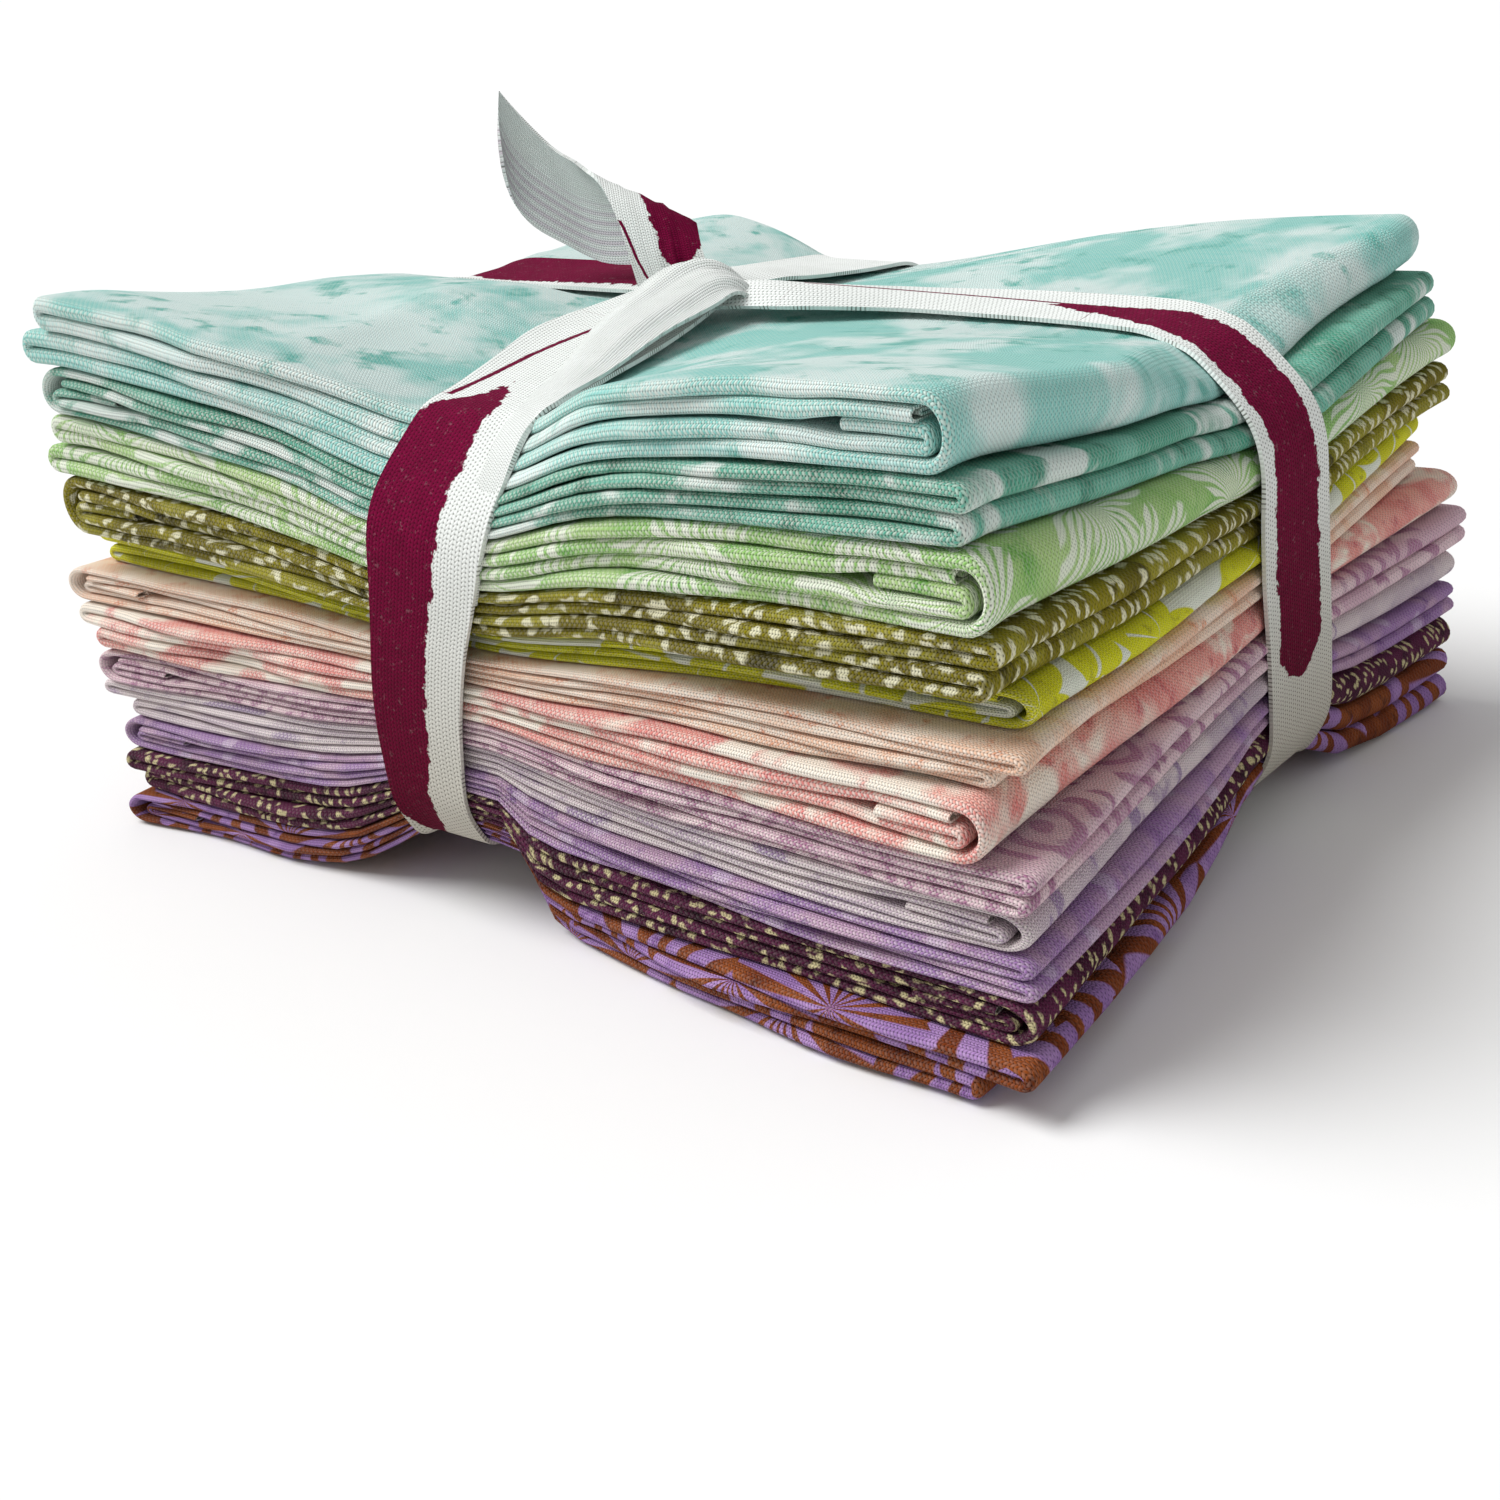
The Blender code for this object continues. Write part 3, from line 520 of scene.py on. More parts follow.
# Loose ribbons near the knot: pairs of edge points from one end to the other. The crown swells up
# between two distances along it, and the pleats gather at the end, 0 or 1, that is in the knot.
Ribbon = namedtuple("Ribbon", "edges ink line pleat knot crown swells")
# The band's start on the front strand: the strand's row, the share of its width, and the lift off it.
BAND_START = ((72, 0.76, -0.6), (64, 0.76, -0.25), (57, 0.76, 0.08), (51, 0.75, 0.4), (44, 0.69, 0.65),
              (34, 0.63, 0.9))
BAND = Ribbon(
    edges=(((-8.2, -20.1, 64.4), (1.6, -18.9, 63.8)),
           ((-11.2, -9.5, 66.0), (0.9, -10.0, 64.6)), ((-11.2, -4.4, 67.6), (0.9, -6.0, 65.2)),
           ((-9.4, -1.4, 68.6), (0.7, -3.6, 65.8)), ((-7.0, 1.4, 67.8), (1.2, -1.4, 65.2)),
           ((-5.2, 3.4, 65.0), (1.2, 0.4, 63.6))),
    ink=((0, 0.7, 0.3), (90, 0.7, 0.3)), line=((0, -1), (1, -1)), pleat=0.9, knot=1, crown=0.9,
    swells=(22, 52))
TAIL = Ribbon(
    edges=(((-17.0, -1.5, 64.8), (-6.5, 1.0, 65.6)), ((-18.0, -1.5, 68.4), (-8.3, 1.5, 69.6)),
           ((-19.7, -1.0, 72.8), (-10.2, 3.3, 71.6)), ((-24.8, 1.5, 77.7), (-11.6, 4.3, 72.4)),
           ((-30.4, 5.0, 78.7), (-18.1, 7.0, 66.9)), ((-32.7, 5.0, 80.0), (-26.4, 6.0, 65.8)),
           ((-35.0, 5.0, 80.8), (-31.2, 6.0, 66.2)), ((-37.6, 4.5, 83.0), (-35.2, 4.5, 68.6)),
           ((-39.7, 3.8, 85.4), (-39.0, 3.2, 70.6)), ((-40.8, 3.0, 87.2), (-41.3, 2.2, 73.2)),
           ((-41.4, 2.4, 88.4), (-42.0, 1.4, 76.3)), ((-41.8, 2.0, 89.3), (-41.9, 1.0, 79.8))),
    ink=((0, 0.8, 0.8), (3, 0.5, 0.85), (6, 0.45, 1.1), (12, 0.42, 1.1), (15, 0.4, 1.1), (60, 0.35, 1.1)),
    line=((0, 0.22), (4, 0.1), (9, 0.02), (10, -1)), pleat=0.35, knot=0, crown=0.7,
    swells=(-2, 0))


def evenly(points, step):
    """A grid of points along its rows, read again at even steps of its middle column's length."""
    middle = points[:, points.shape[1] // 2]
    run = np.concatenate([[0.0], np.cumsum(np.linalg.norm(np.diff(middle, axis=0), axis=1))])
    places = np.linspace(0, run[-1], max(int(run[-1] / step), 2))
    even = np.stack([[np.interp(places, run, points[:, column, axis]) for axis in range(3)]
                     for column in range(points.shape[1])])
    return even.transpose(2, 0, 1), places


def soften(points, reach):
    """A grid of points with its bends rounded over some rows, its two ends kept."""
    spread = np.arange(-reach, reach + 1)
    weights = np.exp(-(spread / (reach / 2)) ** 2)
    before, after = points[reach:0:-1], points[-2:-reach - 2:-1]
    padded = np.concatenate([2 * points[:1] - before, points, 2 * points[-1:] - after])
    return sum(weight * padded[reach + n:reach + n + len(points)]
               for n, weight in zip(spread, weights)) / weights.sum()


def round_curve(points, count):
    """A smooth curve through a list of points, with count steps between each two of them."""
    points = np.asarray(points, float)
    ends = np.concatenate([2 * points[:1] - points[1:2], points, 2 * points[-1:] - points[-2:-1]])
    found = []
    for a, b, c, d in zip(ends, ends[1:], ends[2:], ends[3:]):
        for t in np.arange(count) / count:
            found.append(0.5 * (2 * b + (c - a) * t + (2 * a - 5 * b + 4 * c - d) * t * t
                                + (3 * b - a - 3 * c + d) * t ** 3))
    return np.array(found + [points[-1]])


def beside_stack(strand, level, place):
    """A point of the tape against the stack's side, place being its distance along the side."""
    half = HALF_X if strand.across else HALF_Y
    crush = {(True, 1): CRUSH.right, (True, -1): CRUSH.left, (False, 1): CRUSH.back,
             (False, -1): CRUSH.front}[strand.across, strand.sign]
    middle = tape_y(strand.sign * half) if strand.across else tape_x(strand.sign * half)
    pull = read([(roll.level, roll.pull) for roll in ROLLS], level, 0.03)
    out = strand.sign * (half - crush * pull * pulled(np.abs(place - middle)))
    x, y = (out, place) if strand.across else (place, out)
    z = bottom_height(x, y) * (1 - level) + top_height(x, y) * level
    aside = strand.sign * TAPE_LIFT * read([(roll.level, roll.out) for roll in ROLLS], level)
    z = z + TAPE_LIFT * read([(roll.level, roll.up) for roll in ROLLS], level)
    return np.stack([x + aside, y, z] if strand.across else [x, y + aside, z], axis=-1)


def strand_points(strand):
    """The middle of one strand's thickness, as rows along it and columns across it."""
    t = np.linspace(0, 1, TAPE_COLUMNS)
    way = [over.low + over.high + (over.raised, over.crown) for over in strand.over]
    rows = []
    for low_x, low_y, high_x, high_y, raised, crown in round_curve(way, 6):
        x, y = low_x * (1 - t) + high_x * t, low_y * (1 - t) + high_y * t
        z = top_height(x, y) + TAPE_LIFT + raised + crown * np.sin(math.pi * t)
        rows.append(np.stack([x, y, z], axis=-1))
    levels = [down.level for down in strand.down][::-1]
    for level in np.linspace(0.98, 0.0, 30):
        low = np.interp(level, levels, [down.low for down in strand.down][::-1])
        high = np.interp(level, levels, [down.high for down in strand.down][::-1])
        rows.append(beside_stack(strand, level, low * (1 - t) + high * t))
    place = strand.down[-1].low * (1 - t) + strand.down[-1].high * t
    half = HALF_X if strand.across else HALF_Y
    for share in (0.8, 0.5, 0.25, 0.02):
        out = np.full(TAPE_COLUMNS, strand.sign * half * share)
        x, y = (out, place) if strand.across else (place, out)
        rows.append(np.stack([x, y, bottom_height(x, y) - TAPE_LIFT], axis=-1))
    points, _ = evenly(np.array(rows), TAPE_STEP)
    return soften(points, 4)


def ribbon_points(ribbon):
    """A loose ribbon's middle, from its two edges, with a crown and pleats along it."""
    edges = round_curve([low + high for low, high in ribbon.edges], 8)
    t = np.linspace(0, 1, TAPE_COLUMNS)[None, :, None]
    points = edges[:, None, :3] * (1 - t) + edges[:, None, 3:] * t
    points, _ = evenly(points, TAPE_STEP)
    points = soften(points, 4)
    across = points[:, -1] - points[:, 0]
    heading = np.gradient(points[:, TAPE_COLUMNS // 2], axis=0)
    out = np.cross(across, heading)
    out /= np.linalg.norm(out, axis=1)[:, None]
    share = np.linspace(0, 1, TAPE_COLUMNS)
    rows = np.arange(len(points)) * TAPE_STEP
    lifted = ribbon.crown * np.sin(math.pi * share)[None, :] * smooth(rows, *ribbon.swells)[:, None]
    gather = np.exp(-np.abs(rows - ribbon.knot * rows[-1]) / 14)[:, None]
    pleats = waver(70 + ribbon.knot, 3.6, share[None, :] * TAPE_WIDTH, 0.06 * rows[:, None])
    lifted += ribbon.pleat * gather * pleats
    return points + out[:, None, :] * lifted[:, :, None]


def band_edges(strand):
    """The folded band's first edges, on the front strand, which it grows out of at the stack's edge."""
    found = []
    for row, share, lift in BAND_START:
        place = share * (TAPE_COLUMNS - 1)
        low = np.array([np.interp(place, np.arange(TAPE_COLUMNS), strand[row, :, axis])
                        for axis in range(3)])
        high = strand[row, -1].copy()
        along_row = strand[row - 1, TAPE_COLUMNS // 2] - strand[row + 1, TAPE_COLUMNS // 2]
        out = np.cross(high - low, along_row)
        out /= np.linalg.norm(out)
        found.append((tuple(low + out * lift), tuple(high + out * lift * 0.6)))
    return tuple(found)


def thick_ribbon(points, thickness, outwards):
    """Both faces of a ribbon from its middle, the printed one first: rows, columns and faces."""
    along_rows = np.gradient(points, axis=0)
    along_columns = np.gradient(points, axis=1)
    out = outwards * np.cross(along_rows, along_columns)
    out /= np.linalg.norm(out, axis=-1)[..., None] + 1e-9
    return np.stack([points + out * thickness / 2, points - out * thickness / 2], axis=2)


def ribbon_object(name, points, ink, line, seed, outwards, fine):
    rows, columns = points.shape[:2]
    middle = points[:, columns // 2]
    run = np.concatenate([[0.0], np.cumsum(np.linalg.norm(np.diff(middle, axis=0), axis=1))])
    width = np.linalg.norm(points[:, -1] - points[:, 0], axis=1)
    both = thick_ribbon(points, TAPE_THICK, outwards)
    cloth = np.zeros(both.shape)
    cloth[..., 0] = (run * fine + seed * 400)[:, None, None]
    cloth[..., 1] = (np.linspace(-0.5, 0.5, columns)[None, :] * width[:, None] * fine)[:, :, None]
    cloth[..., 2] = np.array([1.0, -1.0])
    made = sheet_object(name, metres(both[..., 0], both[..., 1], both[..., 2]), cloth)
    places, low, high = zip(*ink)
    line_places, line_at = zip(*line)
    share = np.linspace(0, 1, columns)
    print_marks = np.zeros(both.shape)
    print_marks[..., 0] = (share[None, :] - np.interp(run, places, low)[:, None])[:, :, None]
    print_marks[..., 1] = (np.interp(run, places, high)[:, None] - share[None, :])[:, :, None]
    print_marks[..., 2] = (share[None, :] - np.interp(run, line_places, line_at)[:, None])[:, :, None]
    held = made.data.attributes.new("marks", "FLOAT_VECTOR", "POINT")
    held.data.foreach_set("vector", print_marks.reshape(-1).astype(np.float32))
    return made


def tape():
    """The whole tie, joined into one object."""
    grids = [strand_points(strand) for strand in STRANDS]
    parts = [ribbon_object("strand", grid, strand.ink, strand.line, number,
                           strand.sign if strand.across else -strand.sign, 1.0)
             for number, (strand, grid) in enumerate(zip(STRANDS, grids))]
    band = band_edges(grids[0])
    for number, ribbon in enumerate((BAND._replace(edges=band + BAND.edges), TAIL)):
        parts.append(ribbon_object("ribbon", ribbon_points(ribbon), ribbon.ink, ribbon.line,
                                   5 + number, -1, RIBBON_FINE))
    with bpy.context.temp_override(active_object=parts[0], selected_editable_objects=parts,
                                   selected_objects=parts):
        bpy.ops.object.join()
    made = parts[0]
    made.name = "cotton_twill_tape"
    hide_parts("twill_tape")
    return made


def srgb(red, green, blue):
    """A screen colour, 0 to 255, as the shader's own."""
    return tuple((c / 255 / 12.92) if c <= 10 else ((c / 255 + 0.055) / 1.055) ** 2.4
                 for c in (red, green, blue)) + (1.0,)


# The photo's camera, in degrees, millimetres and pixels.
CameraFacts = namedtuple("CameraFacts", "turn rise roll away aside up focal middle")
CAMERA = CameraFacts(turn=39.9, rise=23.2, roll=-5.2, away=288.0, aside=-2.2, up=-31.2, focal=2161.0,
                     middle=35.0)
PICTURE = 1500
SENSOR = 36.0


def make_camera():
    turn, rise, roll = (math.radians(angle) for angle in CAMERA[:3])
    back = Vector((math.sin(turn) * math.cos(rise), -math.cos(turn) * math.cos(rise), math.sin(rise)))
    level = Vector((0, 0, 1)).cross(back).normalized()
    upright = back.cross(level)
    right = math.cos(roll) * level + math.sin(roll) * upright
    up = math.cos(roll) * upright - math.sin(roll) * level
    place = (back * CAMERA.away + right * CAMERA.aside + up * CAMERA.up
             + Vector((ORIGIN[0], ORIGIN[1], CAMERA.middle)))
    data = bpy.data.cameras.new("camera")
    data.sensor_width = SENSOR
    data.lens = CAMERA.focal / PICTURE * SENSOR
    data.clip_start = 0.01
    made = bpy.data.objects.new("camera", data)
    matrix = Matrix((right, up, back)).transposed().to_4x4()
    matrix.translation = place * MM
    made.matrix_world = matrix
    bpy.context.scene.collection.objects.link(made)
    bpy.context.scene.camera = made


# The width of one thread of the cotton, and of the tape.
THREAD = 0.36
TAPE_THREAD = 0.56
# The tape is painted greyer and browner down the stack's sides, as shade towards the floor, from one height
# to another.
TAPE_SHADE_HEIGHTS = (0.062, 0.0)
PAINTED_SHADE_TINT = (0.56, 0.5, 0.43, 1.0)


class Shader:
    """One material's nodes, with the cloth's own flat coordinates in millimetres."""

    def __init__(self, name):
        self.material = bpy.data.materials.new(name)
        self.material.use_nodes = True
        self.nodes = self.material.node_tree.nodes
        self.links = self.material.node_tree.links
        self.surface = self.nodes["Principled BSDF"]
        parts = self.add("ShaderNodeSeparateXYZ", {0: self.attribute("cloth", "Vector")})
        self.u, self.w, self.face = parts.outputs
        self.flat = self.add("ShaderNodeCombineXYZ", {0: self.u, 1: self.w}).outputs[0]

    def add(self, kind, inputs=None, **settings):
        node = self.nodes.new(kind)
        for name, value in settings.items():
            setattr(node, name, value)
        for name, value in (inputs or {}).items():
            self.set(node.inputs[name], value)
        return node

    def set(self, socket, value):
        if isinstance(value, bpy.types.NodeSocket):
            self.links.new(value, socket)
        else:
            socket.default_value = value

    def attribute(self, name, output):
        return self.add("ShaderNodeAttribute", attribute_name=name).outputs[output]

    def math(self, operation, a, b=0.0, c=0.0):
        return self.add("ShaderNodeMath", {0: a, 1: b, 2: c}, operation=operation).outputs[0]

    def step(self, value, low, high):
        """0 at low and 1 at high, with an even step between them."""
        return self.add("ShaderNodeMapRange", {"Value": value, "From Min": low, "From Max": high},
                        interpolation_type="SMOOTHSTEP").outputs[0]

    def mix(self, share, a, b, blend="MIX"):
        node = self.add("ShaderNodeMix", data_type="RGBA", blend_type=blend)
        for socket, value in zip((node.inputs[0], node.inputs[6], node.inputs[7]), (share, a, b)):
            self.set(socket, value)
        return node.outputs[2]

    def place(self, stretch=(1.0, 1.0), turn=0.0, shift=(0.0, 0.0), vector=None):
        """The flat coordinates stretched, turned and shifted."""
        return self.add("ShaderNodeMapping", {
            "Vector": vector or self.flat, "Location": (*shift, 0.0), "Rotation": (0.0, 0.0, turn),
            "Scale": (1 / stretch[0], 1 / stretch[1], 1.0)}).outputs[0]

    def noise(self, size, seed, detail=2.0, roughness=0.5, distortion=0.0, vector=None):
        node = self.add("ShaderNodeTexNoise", {
            "Vector": vector or self.flat, "W": seed * 3.7, "Scale": 1 / size, "Detail": detail,
            "Roughness": roughness, "Distortion": distortion}, noise_dimensions="4D")
        return node.outputs[0]

    def bend(self, vector, size, reach, seed):
        """Coordinates pushed about by a noise, by up to about reach."""
        pushed = self.add("ShaderNodeTexNoise", {"Vector": vector, "W": seed * 1.3, "Scale": 1 / size,
                                                 "Detail": 1.0}, noise_dimensions="4D").outputs["Color"]
        centred = self.add("ShaderNodeVectorMath", {0: pushed, 1: (0.5, 0.5, 0.5)}, operation="SUBTRACT")
        scaled = self.add("ShaderNodeVectorMath", {0: centred.outputs[0], "Scale": 2 * reach},
                          operation="SCALE")
        moved = self.add("ShaderNodeVectorMath", {0: vector, 1: scaled.outputs[0]}, operation="ADD")
        return moved.outputs[0]

    def dots(self, vector, randomness, low, high):
        """1 in scattered round dots, one to each unit of the coordinates."""
        cells = self.add("ShaderNodeTexVoronoi", {"Vector": vector, "Scale": 1.0, "Randomness": randomness},
                         voronoi_dimensions="2D")
        return self.step(cells.outputs["Distance"], high, low)

    def petals(self, size, seed, count, full, vector=None):
        """1 within flower shapes scattered a size apart, then their radius and turn."""
        vector = vector or self.place(shift=(seed * 31.0, seed * 17.0))
        cells = self.add("ShaderNodeTexVoronoi", {"Vector": vector, "Scale": 1 / size, "Randomness": 0.75},
                         voronoi_dimensions="2D")
        local = self.add("ShaderNodeVectorMath", {0: vector, 1: cells.outputs["Position"]},
                         operation="SUBTRACT")
        x, y, _ = self.add("ShaderNodeSeparateXYZ", {0: local.outputs[0]}).outputs
        radius = self.add("ShaderNodeVectorMath", {0: local.outputs[0]}, operation="LENGTH").outputs["Value"]
        spin = self.add("ShaderNodeSeparateColor", {0: cells.outputs["Color"]}).outputs[0]
        turn = self.math("MULTIPLY_ADD", spin, 6.28, self.math("ARCTAN2", y, x))
        lobes = self.math("ABSOLUTE", self.math("COSINE", self.math("MULTIPLY", turn, count / 2)))
        reach = self.math("MULTIPLY_ADD", lobes, size * full * 0.6, size * full * 0.4)
        inside = self.step(self.math("SUBTRACT", reach, radius), -0.25, 0.35)
        return inside, radius, turn

    def weave(self, thread, slant, wobble):
        """A plain weave: 1 where one thread is on top and -1 for the other, and a mask of the hollows
        between them, which takes painted shade.
        """
        moved = self.bend(self.flat, 5.0, wobble, 3)
        u, w, _ = self.add("ShaderNodeSeparateXYZ", {0: moved}).outputs
        slanted = self.math("MULTIPLY_ADD", self.math("PINGPONG", w, thread), slant, u)
        along, across = (self.math("SINE", self.math("MULTIPLY", part, math.pi / thread))
                         for part in (slanted, w))
        hump = self.math("MAXIMUM", self.math("ABSOLUTE", along), self.math("ABSOLUTE", across))
        return self.math("MULTIPLY", along, across), self.step(hump, 0.75, 0.25)

    def finish(self, colour, height, depth):
        bump = self.add("ShaderNodeBump", {"Height": height, "Distance": depth, "Strength": 1.0})
        self.links.new(bump.outputs[0], self.surface.inputs["Normal"])
        self.links.new(colour, self.surface.inputs["Base Color"])
        self.surface.inputs["Roughness"].default_value = 0.9
        self.surface.inputs["Specular IOR Level"].default_value = 0.1
        return self.material


def mottle(s, seed, size, pale, middle, deep, amount=0.5, pale_print_and_light_span=None):
    """Soft patches of three tones, as in a hand-dyed cloth, paler past a span along its length: partly the
    print's own tone and partly painted light.
    """
    broad = s.noise(size, seed, 3.0, 0.55, 0.4)
    if pale_print_and_light_span:
        broad = s.math("SUBTRACT", broad, s.math("MULTIPLY", s.step(s.u, *pale_print_and_light_span), 0.1))
    small = s.noise(size * 0.35, seed + 5, 4.0, 0.6, 0.2)
    tone = s.mix(s.step(broad, amount - 0.09, amount + 0.09), srgb(*pale), srgb(*middle))
    return s.mix(s.step(small, 0.53, 0.7), tone, srgb(*deep))


def aqua_print(s):
    # Paler towards the left of the top pass: partly the print's own paler tone and partly painted light,
    # falling brighter there.
    return mottle(s, 1, 15.0, (214, 235, 232), (140, 208, 200), (90, 182, 170), 0.48, (330.0, 410.0))


def mint_print(s):
    bands = s.noise(9.0, 2, 3.0, 0.6, 0.6, s.place((1.6, 1.0)))
    ground = mottle(s, 7, 10.0, (104, 182, 160), (70, 160, 134), (36, 126, 102))
    return s.mix(s.step(bands, 0.52, 0.6), ground, srgb(214, 228, 222))


def green_print(s):
    feather, _, turn = s.petals(19.0, 3, 7, 0.62, s.bend(s.place(shift=(9.0, 4.0)), 7.0, 1.6, 4))
    rays = s.math("SINE", s.math("MULTIPLY", turn, 34.0))
    shape = s.math("MULTIPLY", feather, s.step(rays, -0.9, 0.1))
    ground = mottle(s, 13, 12.0, (172, 208, 128), (140, 194, 98), (98, 172, 62))
    return s.mix(shape, ground, srgb(226, 236, 214))


def olive_print(s):
    rows = s.bend(s.place(), 24.0, 9.0, 6)
    dashes = s.dots(s.place((2.7, 1.5), 0.5, vector=s.bend(rows, 0.9, 0.7, 9)), 0.7, 0.18, 0.36)
    blooms, _, _ = s.petals(26.0, 5, 5, 0.45)
    ground = mottle(s, 4, 9.0, (138, 128, 0), (112, 102, 0), (70, 63, 0))
    ground = s.mix(s.math("MULTIPLY", blooms, 0.5), ground, srgb(166, 160, 50))
    return s.mix(dashes, ground, srgb(224, 220, 186))


def yellow_print(s):
    leaf, _, turn = s.petals(19.0, 8, 4, 0.68)
    vein = s.step(s.math("ABSOLUTE", s.math("SINE", s.math("MULTIPLY", turn, 2.0))), 0.03, 0.12)
    shape = s.math("MULTIPLY", leaf, vein)
    yellow = mottle(s, 9, 5.0, (226, 226, 6), (214, 212, 0), (184, 180, 0))
    return s.mix(shape, srgb(236, 240, 224), yellow)


def peach_print(s):
    return mottle(s, 17, 8.0, (246, 222, 202), (238, 192, 162), (222, 142, 102))


def coral_print(s):
    blotch = s.noise(10.0, 19, 3.0, 0.55, 0.9)
    coral = mottle(s, 23, 6.0, (238, 160, 148), (226, 130, 124), (202, 92, 98))
    return s.mix(s.step(blotch, 0.42, 0.56), srgb(248, 236, 220), coral)


def mauve_print(s):
    vine, radius, _ = s.petals(15.0, 12, 6, 0.6, s.bend(s.place(shift=(3.0, 8.0)), 8.0, 2.0, 2))
    rings = s.step(s.math("SINE", s.math("MULTIPLY", radius, 2.4)), -0.2, 0.6)
    pale = mottle(s, 29, 11.0, (226, 196, 204), (206, 166, 184), (180, 134, 162))
    return s.mix(s.math("MULTIPLY", vine, rings), pale, srgb(172, 116, 150))


def grey_print(s):
    lines = s.noise(7.0, 31, 2.0, 0.5, 1.4, s.place((2.6, 1.0), 0.6))
    pale = mottle(s, 37, 13.0, (222, 206, 210), (196, 176, 190), (168, 144, 172))
    return s.mix(s.step(lines, 0.6, 0.66), pale, srgb(154, 126, 166))


def lavender_print(s):
    cloud = mottle(s, 41, 9.0, (184, 148, 178), (156, 116, 172), (120, 80, 140))
    spots = s.dots(s.place((7.0, 7.0), shift=(0.4, 0.2)), 0.9, 0.12, 0.2)
    return s.mix(s.math("MULTIPLY", spots, 0.6), cloud, srgb(206, 186, 212))


def plum_print(s):
    rows = s.bend(s.place(), 18.0, 6.0, 8)
    dashes = s.dots(s.place((2.0, 1.3), 0.9, vector=s.bend(rows, 0.8, 0.6, 10)), 0.8, 0.14, 0.34)
    ground = mottle(s, 43, 6.0, (92, 30, 66), (68, 14, 46), (42, 4, 26))
    return s.mix(dashes, ground, srgb(204, 192, 146))


def rust_print(s):
    fan, _, turn = s.petals(22.0, 14, 3, 0.8)
    rays = s.step(s.math("SINE", s.math("MULTIPLY", turn, 15.0)), 0.0, 0.4)
    rust = mottle(s, 47, 5.0, (140, 70, 24), (116, 50, 12), (84, 30, 4))
    lilac = mottle(s, 53, 5.0, (172, 134, 190), (150, 112, 172), (126, 86, 148))
    return s.mix(fan, rust, s.mix(rays, lilac, rust))


PRINTS = {"rust": rust_print, "plum": plum_print, "lavender": lavender_print, "grey": grey_print,
          "mauve": mauve_print, "coral": coral_print, "peach": peach_print, "yellow": yellow_print,
          "olive": olive_print, "green": green_print, "mint": mint_print, "aqua": aqua_print}
# How far the bare thread shows through each print, and how dark the painted shade is in the hollows between
# the threads.
Thread = namedtuple("Thread", "bare pit")
THREADS = {"rust": Thread(0.04, 0.25), "plum": Thread(0.03, 0.2), "lavender": Thread(0.14, 0.3),
           "grey": Thread(0.26, 0.3), "mauve": Thread(0.24, 0.3), "coral": Thread(0.3, 0.35),
           "peach": Thread(0.3, 0.35), "yellow": Thread(0.1, 0.4), "olive": Thread(0.06, 0.2),
           "green": Thread(0.26, 0.3), "mint": Thread(0.24, 0.3), "aqua": Thread(0.27, 0.35)}
BARE_THREAD = srgb(246, 242, 232)


def cotton(name):
    """Printed quilting cotton: the print, paler behind, over a plain weave of bright and inked threads,
    painted shade in its hollows.
    """
    s = Shader("cotton_" + name)
    thread = THREADS[name]
    ink = PRINTS[name](s)
    ink = s.mix(s.step(s.face, 0.2, -0.2), ink, s.mix(0.45, ink, BARE_THREAD))
    nose = s.attribute("nose", "Fac")
    cross, pit_shade_mask = s.weave(THREAD, 0.6, 0.16)
    slub = s.noise(1.0, 61, 2.0, 0.6, 0.0, s.place((9.0, 0.5)))
    over = s.math("MULTIPLY", s.step(cross, -1.0, 0.5), s.step(slub, 0.15, 0.55))
    strength = s.math("MULTIPLY_ADD", nose, thread.bare * 1.2, thread.bare * 0.8)
    colour = s.mix(s.math("MULTIPLY", over, strength), ink, BARE_THREAD)
    # Painted shade in the hollows between the threads, deeper on the folded edges.
    deep = s.mix(1.0, ink, (thread.pit, thread.pit, thread.pit, 1.0), "MULTIPLY")
    depth = s.math("MULTIPLY_ADD", nose, 0.25, 0.75)
    colour = s.mix(s.math("MULTIPLY", pit_shade_mask, depth), colour, deep)
    height = s.math("POWER", s.math("ABSOLUTE", cross), 0.6)
    return s.finish(colour, height, 0.00012)


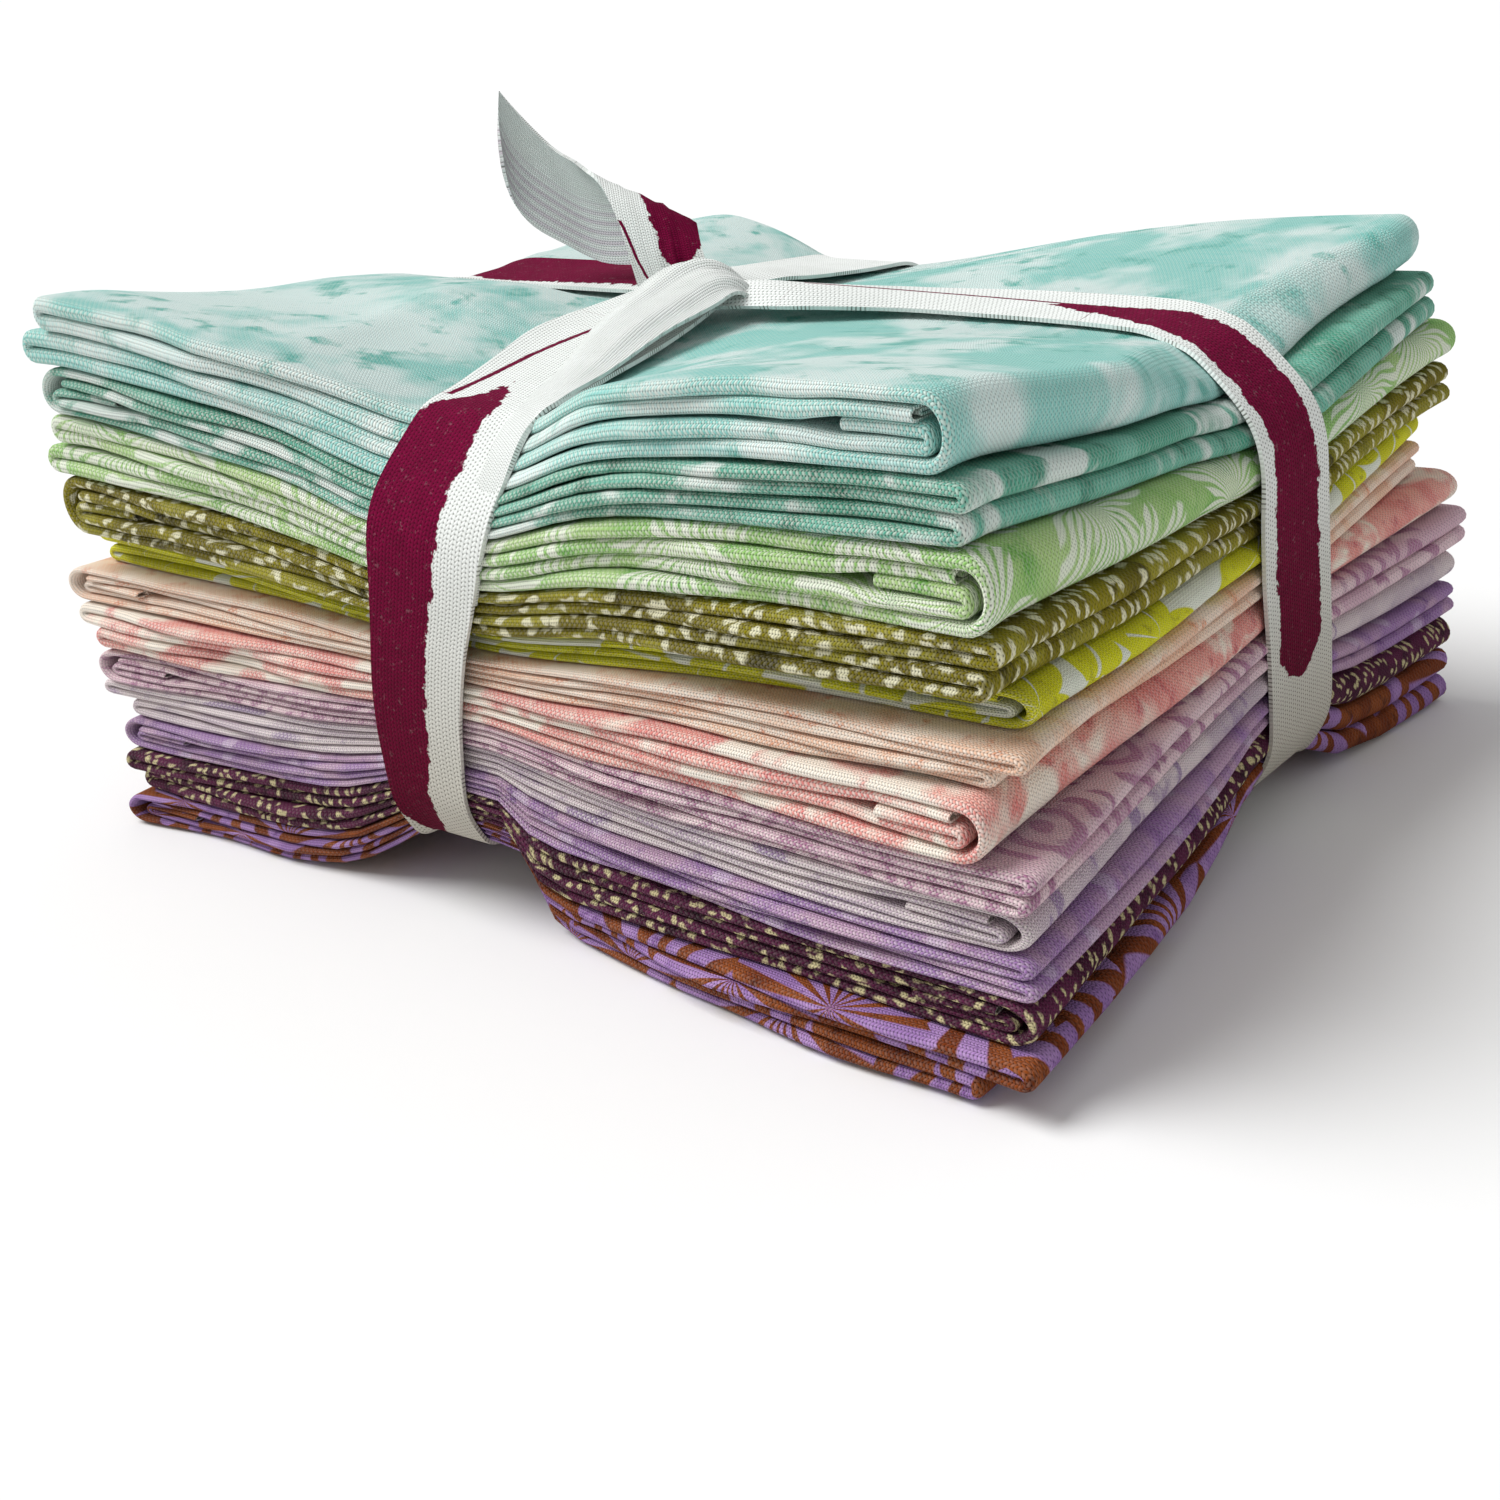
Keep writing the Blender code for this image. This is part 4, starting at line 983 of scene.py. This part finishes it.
def twill():
    """White cotton tape with a stripe printed along it, ragged along its edges, with painted shade between
    its threads and towards the floor.
    """
    s = Shader("cotton_twill")
    past_low, before_high, from_line = s.add(
        "ShaderNodeSeparateXYZ", {0: s.attribute("marks", "Vector")}).outputs
    cross, pit_shade_mask = s.weave(TAPE_THREAD, 0.5, 0.05)
    fray = s.math("MULTIPLY_ADD", s.noise(2.2, 71, 3.0, 0.7), 0.2, -0.1)
    stepped = s.math("MULTIPLY_ADD", s.noise(0.9, 73, 2.0, 0.6), 0.06, -0.03)
    fray = s.math("ADD", fray, stepped)
    low = s.step(s.math("ADD", past_low, fray), -0.008, 0.008)
    high = s.step(s.math("ADD", before_high, fray), -0.008, 0.008)
    stripe = s.math("MULTIPLY", low, high)
    soft = s.math("MULTIPLY", s.step(past_low, -0.1, 0.25), s.step(before_high, -0.1, 0.25))
    behind = s.step(s.face, 0.98, 0.9)
    ribs = s.step(s.math("SINE", s.math("MULTIPLY", s.w, 2.7)), -0.6, 0.9)
    ghost = s.math("MULTIPLY", s.math("MULTIPLY", soft, behind), s.math("MULTIPLY_ADD", ribs, 0.26, 0.05))
    stripe = s.math("MULTIPLY", stripe, s.math("SUBTRACT", 1.0, behind))
    line = s.step(s.math("ABSOLUTE", s.math("MULTIPLY_ADD", fray, 0.15, from_line)), 0.028, 0.018)
    stripe = s.math("MAXIMUM", stripe, line)
    worn = s.step(s.noise(0.8, 79, 3.0, 0.7), 0.3, 0.42)
    stripe = s.math("MULTIPLY", stripe, s.math("MULTIPLY_ADD", worn, 0.07, 0.93))
    cotton_white = s.mix(s.noise(5.0, 83, 3.0), srgb(243, 246, 244), srgb(226, 230, 226))
    magenta = s.mix(s.noise(1.5, 89, 3.0), srgb(126, 0, 58), srgb(92, 0, 40))
    colour = s.mix(stripe, s.mix(ghost, cotton_white, srgb(168, 96, 158)), magenta)
    # Painted shade in the hollows between the tape's threads.
    colour = s.mix(pit_shade_mask, colour, s.mix(1.0, colour, (0.3, 0.3, 0.28, 1.0), "MULTIPLY"))
    # Painted shade: the tape greyer and browner towards the floor.
    height_up = s.add("ShaderNodeSeparateXYZ", {0: s.add("ShaderNodeTexCoord").outputs["Object"]}).outputs[2]
    colour = s.mix(s.step(height_up, *TAPE_SHADE_HEIGHTS), colour, s.mix(1.0, colour, PAINTED_SHADE_TINT, "MULTIPLY"))
    height = s.math("POWER", s.math("ABSOLUTE", cross), 0.6)
    return s.finish(colour, height, 0.0001)


def plain_material(name, colour):
    material = bpy.data.materials.new(name)
    material.use_nodes = True
    shader = material.node_tree.nodes["Principled BSDF"]
    shader.inputs["Base Color"].default_value = colour
    shader.inputs["Roughness"].default_value = 0.85
    return material


SURROUND = 0.5
KEY_POWER = 2.95
KEY_SPREAD = math.radians(38)
KEY_FROM = (-0.5, -0.28, 0.82)
# The floor lies just under the stack, in metres as Blender has them.
FLOOR_SIZE = 6
FLOOR_DROP = 0.0002


def light():
    """Soft studio light: an even pale surround, and one broad light high on the left."""
    world = bpy.data.worlds.new("world")
    bpy.context.scene.world = world
    world.use_nodes = True
    world.node_tree.nodes["Background"].inputs["Color"].default_value = (1, 1, 1, 1)
    world.node_tree.nodes["Background"].inputs["Strength"].default_value = SURROUND
    data = bpy.data.lights.new("key", "SUN")
    data.energy = KEY_POWER
    data.angle = KEY_SPREAD
    lamp = bpy.data.objects.new("key", data)
    lamp.rotation_euler = Vector(KEY_FROM).to_track_quat("Z", "Y").to_euler()
    bpy.context.scene.collection.objects.link(lamp)


make_camera()
for number, fabric in enumerate(FABRICS):
    fat_quarter(number).data.materials.append(cotton(fabric.name))

tie = tape()
tie.data.materials.append(twill())

bpy.ops.mesh.primitive_plane_add(size=FLOOR_SIZE, location=(0, 0, -FLOOR_DROP))
floor = bpy.context.object
floor.data.materials.append(plain_material("floor", srgb(234, 234, 234)))
light()
bpy.context.scene.view_settings.view_transform = "Standard"
